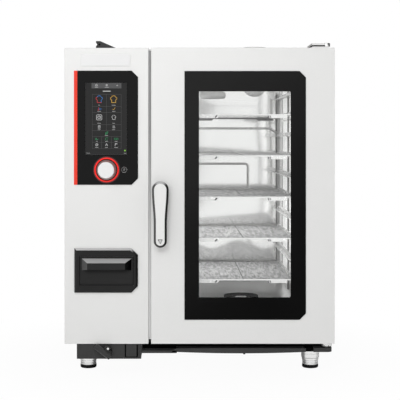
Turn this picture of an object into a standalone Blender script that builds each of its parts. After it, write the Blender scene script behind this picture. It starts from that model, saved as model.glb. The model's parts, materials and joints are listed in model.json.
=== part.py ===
# Combi steamer oven on four screw feet, with its door, controls and chamber.
# Metres, +Z up, the door faces -Y, the floor is z = 0 and x = 0 is mid case.

import math

import bmesh
import bpy
from mathutils import Matrix, Vector

# Case
CASE_WIDTH = 0.885
CASE_HEIGHT = 0.971
CASE_DEPTH = 0.800
CASE_RAISE = 0.114
SHEET = 0.002
SEAT = 0.0003
TURN_GAP = 0.0005
PAN_HEIGHT = 0.040
EDGE_BEVEL = 0.0012

# Screw feet
FOOT_FRONT_SETBACK = 0.196
FOOT_REAR_INSET = 0.090
FOOT_LEFT_INSET = 0.0655
FOOT_RIGHT_INSET = 0.0563
SOCKET_RADIUS = 0.0305
SOCKET_WALL = 0.005
SOCKET_LENGTH = 0.079
FOOT_RADIUS = 0.0278
FOOT_STEM = 0.050
PAD_HEIGHT = 0.010
PAD_BULGE = 0.0008
PAD_BULGE_SHARE = 0.25

# Door
DOOR_GAP = 0.009
DOOR_THICKNESS = 0.062
DOOR_END_GAP = 0.001
SEAL_GAP = 0.012
GASKET_WIDTH = 0.014
GASKET_MARGIN = 0.003
PANE_LEFT_INSET = 0.1095
PANE_RIGHT_INSET = 0.0945
PANE_TOP_INSET = 0.078
PANE_BOTTOM_INSET = 0.081
PANE_CHAMFER = 0.0207
PANE_THICKNESS = 0.005
PANE_PROUD = 0.003
PANE_EDGE_GAP = 0.0005
WINDOW_LEFT_BORDER = 0.047
WINDOW_RIGHT_BORDER = 0.0495
WINDOW_TOP_BORDER = 0.066
WINDOW_BOTTOM_BORDER = 0.073
FRAME_FLANGE = 0.003
FRAME_LAP = 0.012
TUNNEL_WALL = 0.004
INNER_PANE_LAP = 0.015

# Door hinges
HINGE_INSET = 0.0215
HINGE_SETBACK = 0.040
HINGE_PIN_RADIUS = 0.006
HINGE_PIN_REACH = 0.014
HINGE_ARM_WIDTH = 0.044
HINGE_ARM_LENGTH = 0.130
HINGE_ARM_HEIGHT = 0.0115
KNUCKLE_RADIUS = 0.0118
KNUCKLE_HEIGHT = 0.0165
HINGE_DISC_RADIUS = 0.018

# Handle and latch
HANDLE_PROUD = 0.058
HANDLE_INSET = 0.0305
HANDLE_DROP = 0.463
HANDLE_LENGTH = 0.187
HANDLE_TOP_RADIUS = 0.027
HANDLE_LOW_RADIUS = 0.021
HANDLE_WAIST = 0.110
HANDLE_THICKNESS = 0.024
HANDLE_ROUND = 0.0035
HUB_RADIUS = 0.019
SPINDLE_RADIUS = 0.007
SPINDLE_HOLE = 0.009
SPINDLE_REACH = 0.028
HOOK_THICKNESS = 0.006
HOOK_STANDOFF = 0.0015
HOOK_HUB_RADIUS = 0.009
STUD_ORBIT = 0.018
STUD_RADIUS = 0.003
STUD_CLEARANCE = 0.0015
JAW_WIDTH = 0.005

# Control fascia
FASCIA_WIDTH = 0.276
FASCIA_SETBACK = 0.022
TRIM_WIDTH = 0.0062
TRIM_SETBACK = 0.006
TRIM_TOP_DROP = 0.008
TRIM_BOTTOM_RISE = 0.018
PLATE_LEFT_INSET = 0.0535
PLATE_WIDTH = 0.1625
PLATE_TOP_DROP = 0.020
PLATE_HEIGHT = 0.040
PLATE_THICKNESS = 0.003
PANEL_LEFT_INSET = 0.0310
PANEL_WIDTH = 0.2105
PANEL_TOP_DROP = 0.0752
PANEL_HEIGHT = 0.3748
PANEL_CHAMFER = 0.021
PANEL_THICKNESS = 0.003
STRIP_WIDTH = 0.0112
SCREEN_LEFT_INSET = 0.0370
SCREEN_TOP_DROP = 0.0398
SCREEN_WIDTH = 0.1375
SCREEN_HEIGHT = 0.236
SCREEN_DEPTH = 0.014
BOARD_THICKNESS = 0.0016
BOARD_STANDOFF = 0.008
BOARD_OVERHANG = 0.004
POST_RADIUS = 0.003
KNOB_FROM_LEFT = 0.1075
KNOB_FROM_BOTTOM = 0.049
KNOB_RADIUS = 0.028
KNOB_BASE_RADIUS = 0.033
KNOB_PROUD = 0.045
KNOB_TRAVEL = 0.003
KNOB_EDGE_DEPTH = 0.0011
KNOB_SHOULDER_SHARE = 0.965
KNOB_FACE_SHARE = 0.90
RING_RADIUS = 0.042
RING_WIDTH = 0.0075
RING_THICKNESS = 0.003
PLUNGER_RADIUS = 0.0042
BUSH_RADIUS = 0.010
ENCODER_RADIUS = 0.016
ENCODER_DEPTH = 0.026

# Detergent drawer
BEZEL_LEFT_INSET = 0.0326
BEZEL_WIDTH = 0.2085
BEZEL_RISE = 0.167
BEZEL_HEIGHT = 0.146
BEZEL_CHAMFER = 0.0215
BEZEL_PROUD = 0.012
BEZEL_SLOPE = 0.007
RECESS_LEFT = 0.0169
RECESS_RIGHT = 0.0141
RECESS_LOW = 0.025
RECESS_HIGH = 0.027
SLEEVE_WALL = 0.0015
SLEEVE_LENGTH = 0.280
DRAWER_PLAY = 0.0008
DRAWER_SETBACK = 0.006
DRAWER_FRONT_WALL = 0.004
DRAWER_WALL = 0.0025
DRAWER_LENGTH = 0.240
DRAWER_HEADROOM = 0.020
GRIP_PROUD = 0.026
GRIP_HEIGHT = 0.040
GRIP_FACE_HEIGHT = 0.022
GRIP_SIDE_INSET = 0.005
GRIP_END_SLOPE = 0.021
GRIP_TOP_DROP = 0.005
GRIP_WALL = 0.003

# Cooking chamber
CHAMBER_INSET = 0.1245
REAR_SPACE = 0.0997
PLENUM_WIDTH = 0.105
SIDE_SPACE = 0.0945
FLOOR_RISE = 0.114
CEILING_DROP = 0.100
LINER_WALL = 0.002
COVE_RADIUS = 0.028
INSULATION = 0.030
MOUTH_LEFT_LIP = 0.013
MOUTH_RIGHT_LIP = 0.003
MOUTH_SILL = 0.012
MOUTH_HEAD = 0.010
BAFFLE_SLOT = 0.016
BAFFLE_SLOT_COUNT = 9
INTAKE_RADIUS = 0.120
EDGE_SLOT = 0.030
EDGE_SLOT_MARGIN = 0.016

# Fan and heater
FAN_RADIUS = 0.165
FAN_BLADES = 16
BLADE_LENGTH = 0.047
BLADE_DEPTH = 0.056
FAN_CLEARANCE = 0.014
FAN_HUB_RADIUS = 0.025
SHAFT_RADIUS = 0.009
SHAFT_GRIP = 0.060
MOTOR_RADIUS = 0.062
MOTOR_LENGTH = 0.150
MOTOR_FLANGE = 0.008
MOTOR_FLANGE_RADIUS = 0.078
MOTOR_NOSE_RADIUS = 0.024
MOTOR_TAPER = 0.9
HEATER_RADIUS = 0.205
HEATER_TUBE = 0.004
HEATER_TURNS = 3
HEATER_PITCH = 0.020
HEATER_RETURN = 0.026
HEATER_TAIL = 0.030

# Racks and trays
TRAY_SIDE_GAP = 0.0325
TRAY_SETBACK = 0.064
TRAY_REAR_GAP = 0.030
TRAY_PLATE = 0.003
TRAY_LIP = 0.014
TRAY_NOTCH = 0.178
TRAY_NOTCH_RISE = 0.009
TRAY_SEAM = 0.002
TRAY_SEAM_DEPTH = 0.001
LEVEL_PITCH = 0.070
FIRST_LEVEL = 0.082
LEVELS_PER_TRAY = 2
TRAY_COUNT = 5
RAIL_LEAF = 0.0022
RAIL_HEIGHT = 0.012
RAIL_REACH = 0.011
RAIL_SIDE_PLAY = 0.006
UPRIGHT_RADIUS = 0.004
UPRIGHT_END_INSET = 0.055
UPRIGHT_COUNT = 3
RACK_FLOOR_GAP = 0.020
RACK_CEILING_GAP = 0.030
HANGER_RISE = 0.100
HANGER_RADIUS = 0.0032

# Fittings in the chamber
DRAIN_SETBACK = 0.203
DRAIN_RADIUS = 0.020
DRAIN_BEND = 0.030
DRAIN_WALL = 0.002
STRAINER_RADIUS = 0.062
STRAINER_HEIGHT = 0.007
STRAINER_RIM = 0.003
STRAINER_TOP_SHARE = 0.82
STRAINER_HOLE_SHARE = 0.25
VENT_FROM_CENTRE = 0.060
VENT_SETBACK = 0.374
VENT_RADIUS = 0.025
VENT_WALL = 0.002
VENT_DROP = 0.045
VENT_RISE = 0.035
VENT_FLANGE_RADIUS = 0.045
NOZZLE_FROM_CENTRE = -0.093
NOZZLE_RADIUS = 0.048
NOZZLE_DROP = 0.052
NOZZLE_NECK_SHARE = 0.94
NOZZLE_TIP_SHARE = 0.72
PIPE_RADIUS = 0.0042
PIPE_STANDOFF = 0.016
PIPE_BEND = 0.012
PIPE_FLANGE_RADIUS = 0.011
PIPE_START = 0.035
STEAM_PIPE_DROP = 0.2965
STEAM_PIPE_END_GAP = 0.142
STEAM_PIPE_TAIL = 0.125
RINSE_PIPE_DROP = 0.159
RINSE_PIPE_END_GAP = 0.056
RINSE_PIPE_REACH = 0.034
RINSE_PIPE_TAIL = 0.022

# Top, rear and underside fittings
COWL_INSET = 0.0835
COWL_SETBACK = 0.250
COWL_LENGTH = 0.100
COWL_WIDTH = 0.124
COWL_HEIGHT = 0.047
COWL_RIDGE = 0.015
COWL_WALL = 0.002
COWL_NOTCH = 0.011
STUB_PROUD = 0.040
STUB_RADIUS = 0.0132
STUB_BORE = 0.009
STUB_SPACING = 0.060
VALVE_INSET = 0.115
VALVE_RISE = 0.236
VALVE_SIZE = 0.050
GLAND_RISE = 0.106
GLAND_RADIUS = 0.016
GLAND_BORE = 0.009
GLAND_PROUD = 0.028
GLAND_HEAD_RADIUS = 0.022
GLAND_TIP_RADIUS = 0.0128
LOUVRE_INSET = 0.060
LOUVRE_LENGTH = 0.140
LOUVRE_HEIGHT = 0.006
LOUVRE_PITCH = 0.020
LOUVRE_COUNT = 8
LOUVRE_RISE = 0.460
HOUSING_INSET = 0.0395
HOUSING_WIDTH = 0.212
HOUSING_HEIGHT = 0.0485
HOUSING_SETBACK = 0.030
HOUSING_FRONT_DEPTH = 0.026
HOUSING_REEL_DEPTH = 0.190
HOUSING_REEL_INSET = 0.073
HOUSING_WALL = 0.0025
FLAP_WIDTH = 0.043
FLAP_HEIGHT = 0.040
FLAP_INSET = 0.010
FLAP_PROUD = 0.0015
SHOWER_FROM_LEFT = 0.101
SHOWER_DROP = 0.022
SHOWER_BALL_RADIUS = 0.0155
SHOWER_SPIGOT = 0.009
SHOWER_SPIGOT_REACH = 0.010
SHOWER_TUBE_RADIUS = 0.010
SHOWER_TUBE_LENGTH = 0.062
SHOWER_TUBE_TILT = 37.0
SHOWER_TUBE_SHIFT = 0.0135
DRIP_LEFT_GAP = 0.0025
DRIP_RIGHT_INSET = 0.0055
DRIP_FRONT_SETBACK = 0.016
DRIP_BACK_SETBACK = 0.056
DRIP_DROP = 0.024
DRIP_HEIGHT = 0.010
DRIP_WALL = 0.0025
BASIN_LEFT = 0.082
BASIN_RIGHT = 0.094
BASIN_DROP = 0.012
BASIN_HEIGHT = 0.021
BASIN_BOW = 0.024
BASIN_SETBACK = 0.018
BASIN_STEPS = 10
TAB_END_GAP = 0.003
TAB_REACH = 0.045

# Places worked out from the sizes above
LEFT = -CASE_WIDTH / 2
RIGHT = CASE_WIDTH / 2
BOTTOM = CASE_RAISE
TOP = BOTTOM + CASE_HEIGHT
FRONT = HANDLE_PROUD - (HANDLE_PROUD + CASE_DEPTH + STUB_PROUD) / 2
REAR = FRONT + CASE_DEPTH
REAR_INNER = REAR - SHEET
DOOR_BACK = FRONT + DOOR_THICKNESS
FRAME_FRONT = DOOR_BACK + SEAL_GAP
FRAME_BACK = FRAME_FRONT + SHEET
CASE_Y = (FRAME_BACK + SEAT, REAR_INNER - SEAT)

FASCIA_FRONT = FRONT + FASCIA_SETBACK
FASCIA_X = (LEFT, LEFT + FASCIA_WIDTH)
DOOR_X = (FASCIA_X[1] + DOOR_GAP, RIGHT)
DOOR_Z = (BOTTOM + DOOR_END_GAP, TOP - DOOR_END_GAP)
PANE_X = (DOOR_X[0] + PANE_LEFT_INSET, DOOR_X[1] - PANE_RIGHT_INSET)
PANE_Z = (BOTTOM + PANE_BOTTOM_INSET, TOP - PANE_TOP_INSET)
WINDOW_X = (PANE_X[0] + WINDOW_LEFT_BORDER, PANE_X[1] - WINDOW_RIGHT_BORDER)
WINDOW_Z = (PANE_Z[0] + WINDOW_BOTTOM_BORDER, PANE_Z[1] - WINDOW_TOP_BORDER)
PANE_BACK = FRONT - PANE_PROUD + PANE_THICKNESS
INNER_PANE_Y = (DOOR_BACK - SHEET - SEAT - PANE_THICKNESS, DOOR_BACK - SHEET - SEAT)
HINGE_X = RIGHT - HINGE_INSET
HINGE_Y = FRONT + HINGE_SETBACK
HANDLE_X = DOOR_X[0] + HANDLE_INSET
HANDLE_Z = TOP - HANDLE_DROP

PANEL_X = (LEFT + PANEL_LEFT_INSET, LEFT + PANEL_LEFT_INSET + PANEL_WIDTH)
PANEL_Z = (TOP - PANEL_TOP_DROP - PANEL_HEIGHT, TOP - PANEL_TOP_DROP)
PANEL_Y = (FASCIA_FRONT - SEAT - PANEL_THICKNESS, FASCIA_FRONT - SEAT)
SCREEN_X = (PANEL_X[0] + SCREEN_LEFT_INSET, PANEL_X[0] + SCREEN_LEFT_INSET + SCREEN_WIDTH)
SCREEN_Z = (PANEL_Z[1] - SCREEN_TOP_DROP - SCREEN_HEIGHT, PANEL_Z[1] - SCREEN_TOP_DROP)
SCREEN_Y = (PANEL_Y[0] + SEAT, PANEL_Y[0] + SEAT + SCREEN_DEPTH)
KNOB_X = PANEL_X[0] + KNOB_FROM_LEFT
KNOB_Z = PANEL_Z[0] + KNOB_FROM_BOTTOM
KNOB_BACK = PANEL_Y[0] - KNOB_TRAVEL - TURN_GAP

BEZEL_X = (LEFT + BEZEL_LEFT_INSET, LEFT + BEZEL_LEFT_INSET + BEZEL_WIDTH)
BEZEL_Z = (BOTTOM + BEZEL_RISE, BOTTOM + BEZEL_RISE + BEZEL_HEIGHT)
RECESS_X = (BEZEL_X[0] + RECESS_LEFT, BEZEL_X[1] - RECESS_RIGHT)
RECESS_Z = (BEZEL_Z[0] + RECESS_LOW, BEZEL_Z[1] - RECESS_HIGH)
BEZEL_FRONT = FASCIA_FRONT - SEAT - BEZEL_PROUD

CHAMBER_RIGHT = RIGHT - SIDE_SPACE
CHAMBER_LEFT = FASCIA_X[1] + CHAMBER_INSET
PLENUM_LEFT = CHAMBER_LEFT - SHEET - PLENUM_WIDTH
FLOOR = BOTTOM + FLOOR_RISE
CEILING = TOP - CEILING_DROP
LINER_FRONT = FRAME_BACK + SEAT
CHAMBER_FRONT = LINER_FRONT + LINER_WALL
CHAMBER_BACK = REAR - REAR_SPACE
MOUTH_X = (CHAMBER_LEFT + MOUTH_LEFT_LIP, CHAMBER_RIGHT - MOUTH_RIGHT_LIP)
MOUTH_Z = (FLOOR + MOUTH_SILL, CEILING - MOUTH_HEAD)
JACKET_LEFT = PLENUM_LEFT - LINER_WALL - INSULATION
JACKET_BOTTOM = FLOOR - LINER_WALL - INSULATION
FAN_Y = (CHAMBER_FRONT + CHAMBER_BACK) / 2
FAN_Z = (FLOOR + CEILING) / 2
HEATER_X = CHAMBER_LEFT - SHEET - PLENUM_WIDTH / 2 + HEATER_TURNS * HEATER_PITCH / 2
HEATER_ENDS = (HEATER_RADIUS, HEATER_RADIUS + HEATER_RETURN)
TRAY_CENTRE = (CHAMBER_LEFT + CHAMBER_RIGHT) / 2
TRAY_X = (CHAMBER_LEFT + TRAY_SIDE_GAP, CHAMBER_RIGHT - TRAY_SIDE_GAP)
TRAY_Y = (LINER_FRONT + TRAY_SETBACK, CHAMBER_BACK - TRAY_REAR_GAP)
LEVEL_COUNT = int((CEILING - RACK_CEILING_GAP - FLOOR - FIRST_LEVEL) / LEVEL_PITCH) + 1
DRAIN_Y = LINER_FRONT + DRAIN_SETBACK
DRAIN_Z = JACKET_BOTTOM - DRAIN_RADIUS - 2 * SEAT
VENT_X = TRAY_CENTRE + VENT_FROM_CENTRE
VENT_Y = LINER_FRONT + VENT_SETBACK
VALVE_X = LEFT + VALVE_INSET
VALVE_Z = BOTTOM + VALVE_RISE
STUB_XS = (VALVE_X, VALVE_X + STUB_SPACING)
GLAND_X = VALVE_X + STUB_SPACING / 2
GLAND_Z = BOTTOM + GLAND_RISE
HOUSING_X = (LEFT + HOUSING_INSET, LEFT + HOUSING_INSET + HOUSING_WIDTH)
HOUSING_Z = (BOTTOM - SEAT - HOUSING_HEIGHT, BOTTOM - SEAT)
HOUSING_FRONT = FRONT + HOUSING_SETBACK
SHOWER_X = HOUSING_X[0] + SHOWER_FROM_LEFT
SHOWER_Z = HOUSING_Z[1] - SHOWER_DROP
SHOWER_Y = HOUSING_FRONT - SHOWER_BALL_RADIUS - TURN_GAP

FOOT_PLACES = {
    "foot_front_left": (LEFT + FOOT_LEFT_INSET, FRONT + FOOT_FRONT_SETBACK),
    "foot_front_right": (RIGHT - FOOT_RIGHT_INSET, FRONT + FOOT_FRONT_SETBACK),
    "foot_rear_left": (LEFT + FOOT_LEFT_INSET, REAR - FOOT_REAR_INSET),
    "foot_rear_right": (RIGHT - FOOT_RIGHT_INSET, REAR - FOOT_REAR_INSET),
}

# Colour, roughness and metallic value of each finish
FINISHES = {
    "pale_steel": ((0.80, 0.80, 0.79), 0.38, 0.55),
    "bright_steel": ((0.72, 0.72, 0.71), 0.22, 1.0),
    "dull_steel": ((0.55, 0.55, 0.55), 0.45, 1.0),
    "clear_glass": ((0.85, 0.90, 0.90), 0.03, 0.0),
    "black_glass": ((0.012, 0.012, 0.013), 0.08, 0.0),
    "black_border": ((0.010, 0.010, 0.011), 0.30, 0.0),
    "black_plastic": ((0.022, 0.022, 0.023), 0.42, 0.0),
    "grey_plastic": ((0.060, 0.060, 0.062), 0.45, 0.0),
    "trim_grey": ((0.42, 0.42, 0.42), 0.50, 0.0),
    "white_plastic": ((0.86, 0.86, 0.85), 0.35, 0.0),
    "red_plastic": ((0.90, 0.060, 0.035), 0.35, 0.0),
    "screen": ((0.030, 0.030, 0.030), 0.20, 0.0),
    "board_green": ((0.02, 0.16, 0.06), 0.55, 0.0),
    "rubber": ((0.015, 0.015, 0.015), 0.80, 0.0),
    "mineral_wool": ((0.62, 0.56, 0.38), 0.95, 0.0),
    "motor_grey": ((0.16, 0.17, 0.18), 0.50, 0.4),
    "brass": ((0.60, 0.42, 0.16), 0.30, 1.0),
}
SMOOTH_ANGLE = math.radians(35)


def clear_scene():
    for obj in list(bpy.data.objects):
        bpy.data.objects.remove(obj, do_unlink=True)


def place(axis, first, second, along):
    # First, second and extrusion index for each direction of extrusion
    order = {"x": (1, 2, 0), "y": (0, 2, 1), "z": (0, 1, 2)}[axis]
    point = Vector((0.0, 0.0, 0.0))
    for index, value in zip(order, (first, second, along)):
        point[index] = value
    return point


def grown(span, amount):
    return (span[0] - amount, span[1] + amount)


def rectangle(first, second):
    return [(first[0], second[0]), (first[1], second[0]), (first[1], second[1]), (first[0], second[1])]


def chamfered(x, z, chamfer):
    # Square corners on the left, cut corners on the right
    return [
        (x[0], z[0]),
        (x[1] - chamfer, z[0]),
        (x[1], z[0] + chamfer),
        (x[1], z[1] - chamfer),
        (x[1] - chamfer, z[1]),
        (x[0], z[1]),
    ]


def arc(centre, radius, start, end, steps):
    points = []
    for step in range(steps + 1):
        angle = math.radians(start + (end - start) * step / steps)
        points.append((centre[0] + radius * math.cos(angle), centre[1] + radius * math.sin(angle)))
    return points


def loft(name, rings, closed=False):
    # Skins equal rings of points; a closed loft joins its last ring to its first
    bm = bmesh.new()
    loops = [[bm.verts.new(point) for point in ring] for ring in rings]
    pairs = list(zip(loops, loops[1:]))
    if closed:
        pairs.append((loops[-1], loops[0]))
    else:
        bm.faces.new(loops[0])
        bm.faces.new(loops[-1])
    for near, far in pairs:
        for index in range(len(near)):
            bm.faces.new((near[index - 1], near[index], far[index], far[index - 1]))
    bmesh.ops.recalc_face_normals(bm, faces=bm.faces)
    mesh = bpy.data.meshes.new(name)
    bm.to_mesh(mesh)
    bm.free()
    obj = bpy.data.objects.new(name, mesh)
    bpy.context.scene.collection.objects.link(obj)
    return obj


def prism(name, outline, axis, span):
    return loft(name, [[place(axis, a, b, level) for a, b in outline] for level in span])


def box(name, x, y, z):
    return prism(name, rectangle(x, y), "z", z)


def turned(name, profile, centre, axis="z", sides=24, closed=False):
    # The profile holds (along, radius) pairs; the origin stays on the turning axis
    rings = []
    for along, radius in profile:
        circle = arc((0.0, 0.0), radius, 0.0, 360.0, sides)[:-1]
        rings.append([place(axis, a, b, along) for a, b in circle])
    obj = loft(name, rings, closed)
    obj.location = centre
    return obj


def rod(name, centre, axis, span, radius, sides=16):
    return turned(name, [(span[0], radius), (span[1], radius)], centre, axis, sides)


def tube(name, path, radius, sides=8):
    points = [Vector(point) for point in path]
    rings = []
    side = None
    for index, point in enumerate(points):
        along = points[min(index + 1, len(points) - 1)] - points[max(index - 1, 0)]
        along.normalize()
        if side is None:
            side = along.orthogonal()
        side = (side - along * side.dot(along)).normalized()
        other = along.cross(side)
        circle = arc((0.0, 0.0), radius, 0.0, 360.0, sides)[:-1]
        rings.append([point + side * a + other * b for a, b in circle])
    return loft(name, rings)


def bent(corners, radius, steps=5):
    # Rounds each inner corner of a path to an arc
    corners = [Vector(corner) for corner in corners]
    path = [corners[0]]
    for before, corner, after in zip(corners, corners[1:], corners[2:]):
        into = (corner - before).normalized()
        out = (after - corner).normalized()
        half = into.angle(out) / 2
        centre = corner + (out - into).normalized() * (radius / math.cos(half))
        arm = corner - into * (radius * math.tan(half)) - centre
        for step in range(steps + 1):
            angle = 2 * half * step / steps
            path.append(centre + arm * math.cos(angle) + into * (radius * math.sin(angle)))
    path.append(corners[-1])
    return path


def combine(target, tools, operation):
    for tool in tools:
        modifier = target.modifiers.new("shape", "BOOLEAN")
        modifier.operation = operation
        modifier.object = tool
    settle(target)
    for tool in tools:
        bpy.data.objects.remove(tool, do_unlink=True)
    return target


def cut(target, *tools):
    return combine(target, tools, "DIFFERENCE")


def fuse(target, *tools):
    return combine(target, tools, "UNION")


def settle(target):
    # Turns the modifier stack into the object's own mesh
    depsgraph = bpy.context.evaluated_depsgraph_get()
    mesh = bpy.data.meshes.new_from_object(target.evaluated_get(depsgraph))
    target.modifiers.clear()
    target.data = mesh


def soften(target, width):
    modifier = target.modifiers.new("edges", "BEVEL")
    modifier.width = width
    modifier.segments = 2
    modifier.limit_method = "ANGLE"
    settle(target)
    return target


def dress(obj, finish):
    colour, roughness, metallic = FINISHES[finish]
    material = bpy.data.materials.new(obj.name)
    material.use_nodes = True
    shader = material.node_tree.nodes["Principled BSDF"]
    shader.inputs["Base Color"].default_value = (*colour, 1.0)
    shader.inputs["Roughness"].default_value = roughness
    shader.inputs["Metallic"].default_value = metallic
    obj.data.materials.clear()
    obj.data.materials.append(material)
    obj.data.shade_smooth()
    obj.data.set_sharp_from_angle(angle=SMOOTH_ANGLE)
    return obj


def pivot(name, location, parent=None):
    empty = bpy.data.objects.new(name, None)
    bpy.context.scene.collection.objects.link(empty)
    empty.location = location
    if parent is not None:
        hang(empty, parent)
    return empty


def hang(obj, parent):
    # Keeps the piece where it is and lets it follow the joint's empty
    anchor = Vector(parent.location)
    obj.parent = parent
    obj.matrix_parent_inverse = Matrix.Translation(-anchor)


def build_base():
    pan_x = (LEFT + SHEET + SEAT, RIGHT - SHEET - SEAT)
    base = box("base_frame", pan_x, CASE_Y, (BOTTOM, BOTTOM + PAN_HEIGHT))
    hollow_z = (BOTTOM + SHEET, BOTTOM + 2 * PAN_HEIGHT)
    cut(base, box("pan_hollow", grown(pan_x, -SHEET), grown(CASE_Y, -SHEET), hollow_z))
    inner = SOCKET_RADIUS - SOCKET_WALL
    top = BOTTOM + SHEET / 2
    low = BOTTOM - SOCKET_LENGTH
    profile = [(low, inner), (low, SOCKET_RADIUS), (top, SOCKET_RADIUS), (top, inner)]
    for x, y in FOOT_PLACES.values():
        fuse(base, turned("socket", profile, (x, y, 0.0), closed=True))
    dress(base, "bright_steel")


def build_feet():
    stem = SOCKET_RADIUS - SOCKET_WALL - TURN_GAP
    shoulder = CASE_RAISE - SOCKET_LENGTH - SEAT
    profile = [
        (0.0, FOOT_RADIUS - PAD_BULGE),
        (PAD_HEIGHT * PAD_BULGE_SHARE, FOOT_RADIUS + PAD_BULGE),
        (PAD_HEIGHT, FOOT_RADIUS + PAD_BULGE),
        (PAD_HEIGHT, FOOT_RADIUS),
        (shoulder, FOOT_RADIUS),
        (shoulder, stem),
        (shoulder + FOOT_STEM, stem),
    ]
    for name, (x, y) in FOOT_PLACES.items():
        dress(turned(name, profile, (x, y, 0.0)), "bright_steel")


def louvres(axis, start, low, span):
    # Row of flat slots through a panel that is normal to the axis
    slots = []
    for index in range(LOUVRE_COUNT):
        z = low + index * LOUVRE_PITCH
        outline = rectangle((start, start + LOUVRE_LENGTH), (z, z + LOUVRE_HEIGHT))
        slots.append(prism("louvre", outline, axis, span))
    return slots


def build_panels():
    side_z = (BOTTOM, TOP - SHEET - SEAT)
    left_x = (LEFT, LEFT + SHEET)
    left = box("left_side_panel", left_x, CASE_Y, side_z)
    start = CASE_Y[1] - LOUVRE_INSET - LOUVRE_LENGTH
    cut(left, *louvres("x", start, BOTTOM + LOUVRE_RISE, grown(left_x, SHEET)))
    dress(left, "pale_steel")
    dress(box("right_side_panel", (RIGHT - SHEET, RIGHT), CASE_Y, side_z), "pale_steel")

    top_z = (TOP - SHEET, TOP)
    top = box("top_cover", (LEFT, RIGHT), CASE_Y, top_z)
    hole_z = grown(top_z, SHEET)
    cowl_low = LEFT + COWL_INSET + 2 * COWL_WALL
    cowl_hole = (cowl_low, cowl_low + COWL_WIDTH / 2)
    cowl_y = (FRONT + COWL_SETBACK + 2 * COWL_WALL, FRONT + COWL_SETBACK + COWL_LENGTH - 2 * COWL_WALL)
    cut(
        top,
        rod("vent_hole", (VENT_X, VENT_Y, 0.0), "z", hole_z, VENT_RADIUS + TURN_GAP, 24),
        box("cowl_hole", cowl_hole, cowl_y, hole_z),
    )
    dress(top, "pale_steel")

    rear_y = (REAR_INNER, REAR)
    hole_y = grown(rear_y, SHEET)
    rear = box("rear_panel", (LEFT, RIGHT), rear_y, (BOTTOM, TOP))
    holes = louvres("y", LEFT + LOUVRE_INSET, BOTTOM + LOUVRE_RISE, hole_y)
    for x in STUB_XS:
        holes.append(rod("stub_hole", (x, 0.0, VALVE_Z), "y", hole_y, STUB_RADIUS + TURN_GAP))
    holes.append(rod("gland_hole", (GLAND_X, 0.0, GLAND_Z), "y", hole_y, GLAND_RADIUS + SEAT))
    holes.append(rod("drain_hole", (TRAY_CENTRE, 0.0, DRAIN_Z), "y", hole_y, DRAIN_RADIUS + TURN_GAP))
    cut(rear, *holes)
    dress(rear, "dull_steel")

    frame_y = (FRAME_FRONT, FRAME_BACK)
    through = grown(frame_y, SHEET)
    sleeve_fit = SLEEVE_WALL + SEAT
    frame = box("front_frame", (LEFT, RIGHT), frame_y, (BOTTOM, TOP))
    cut(
        frame,
        box("mouth", MOUTH_X, through, MOUTH_Z),
        box("drawer_way", grown(RECESS_X, sleeve_fit), through, grown(RECESS_Z, sleeve_fit)),
        box("wire_way", grown(SCREEN_X, -SCREEN_WIDTH / 4), through, grown(SCREEN_Z, -SCREEN_HEIGHT / 4)),
    )
    dress(frame, "pale_steel")


def build_fascia():
    skin_y = (FASCIA_FRONT, FRAME_FRONT - SEAT)
    front_cut = (FASCIA_FRONT - SHEET, FASCIA_FRONT + 2 * SHEET)
    sleeve_fit = SLEEVE_WALL + SEAT
    fascia = soften(box("control_fascia", FASCIA_X, skin_y, (BOTTOM, TOP)), EDGE_BEVEL)
    hollow_y = (FASCIA_FRONT + SHEET, FRAME_FRONT + SHEET)
    cut(
        fascia,
        box("hollow", grown(FASCIA_X, -SHEET), hollow_y, grown((BOTTOM, TOP), -SHEET)),
        box("screen_way", grown(SCREEN_X, SEAT), front_cut, grown(SCREEN_Z, SEAT)),
        rod("bush_way", (KNOB_X, 0.0, KNOB_Z), "y", front_cut, BUSH_RADIUS + SEAT),
        box("drawer_way", grown(RECESS_X, sleeve_fit), front_cut, grown(RECESS_Z, sleeve_fit)),
    )
    dress(fascia, "pale_steel")

    trim_x = (FASCIA_X[1] + SEAT, FASCIA_X[1] + SEAT + TRIM_WIDTH)
    trim_y = (FASCIA_FRONT + TRIM_SETBACK, FRAME_FRONT - SEAT)
    dress(box("gap_trim", trim_x, trim_y, (BOTTOM + TRIM_BOTTOM_RISE, TOP - TRIM_TOP_DROP)), "trim_grey")

    plate_x = (LEFT + PLATE_LEFT_INSET, LEFT + PLATE_LEFT_INSET + PLATE_WIDTH)
    plate_z = (TOP - PLATE_TOP_DROP - PLATE_HEIGHT, TOP - PLATE_TOP_DROP)
    plate_y = (FASCIA_FRONT - SEAT - PLATE_THICKNESS, FASCIA_FRONT - SEAT)
    dress(soften(box("name_plate", plate_x, plate_y, plate_z), EDGE_BEVEL), "white_plastic")

    strip_x = (PANEL_X[0], PANEL_X[0] + STRIP_WIDTH)
    dress(box("accent_strip", strip_x, PANEL_Y, PANEL_Z), "red_plastic")
    glass_x = (strip_x[1] + SEAT, PANEL_X[1])
    glass = prism("control_glass", chamfered(glass_x, PANEL_Z, PANEL_CHAMFER), "y", PANEL_Y)
    through = grown(PANEL_Y, PANEL_THICKNESS)
    cut(
        glass,
        box("screen_way", grown(SCREEN_X, SEAT), through, grown(SCREEN_Z, SEAT)),
        rod("bush_way", (KNOB_X, 0.0, KNOB_Z), "y", through, BUSH_RADIUS + SEAT),
    )
    dress(glass, "black_glass")


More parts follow.
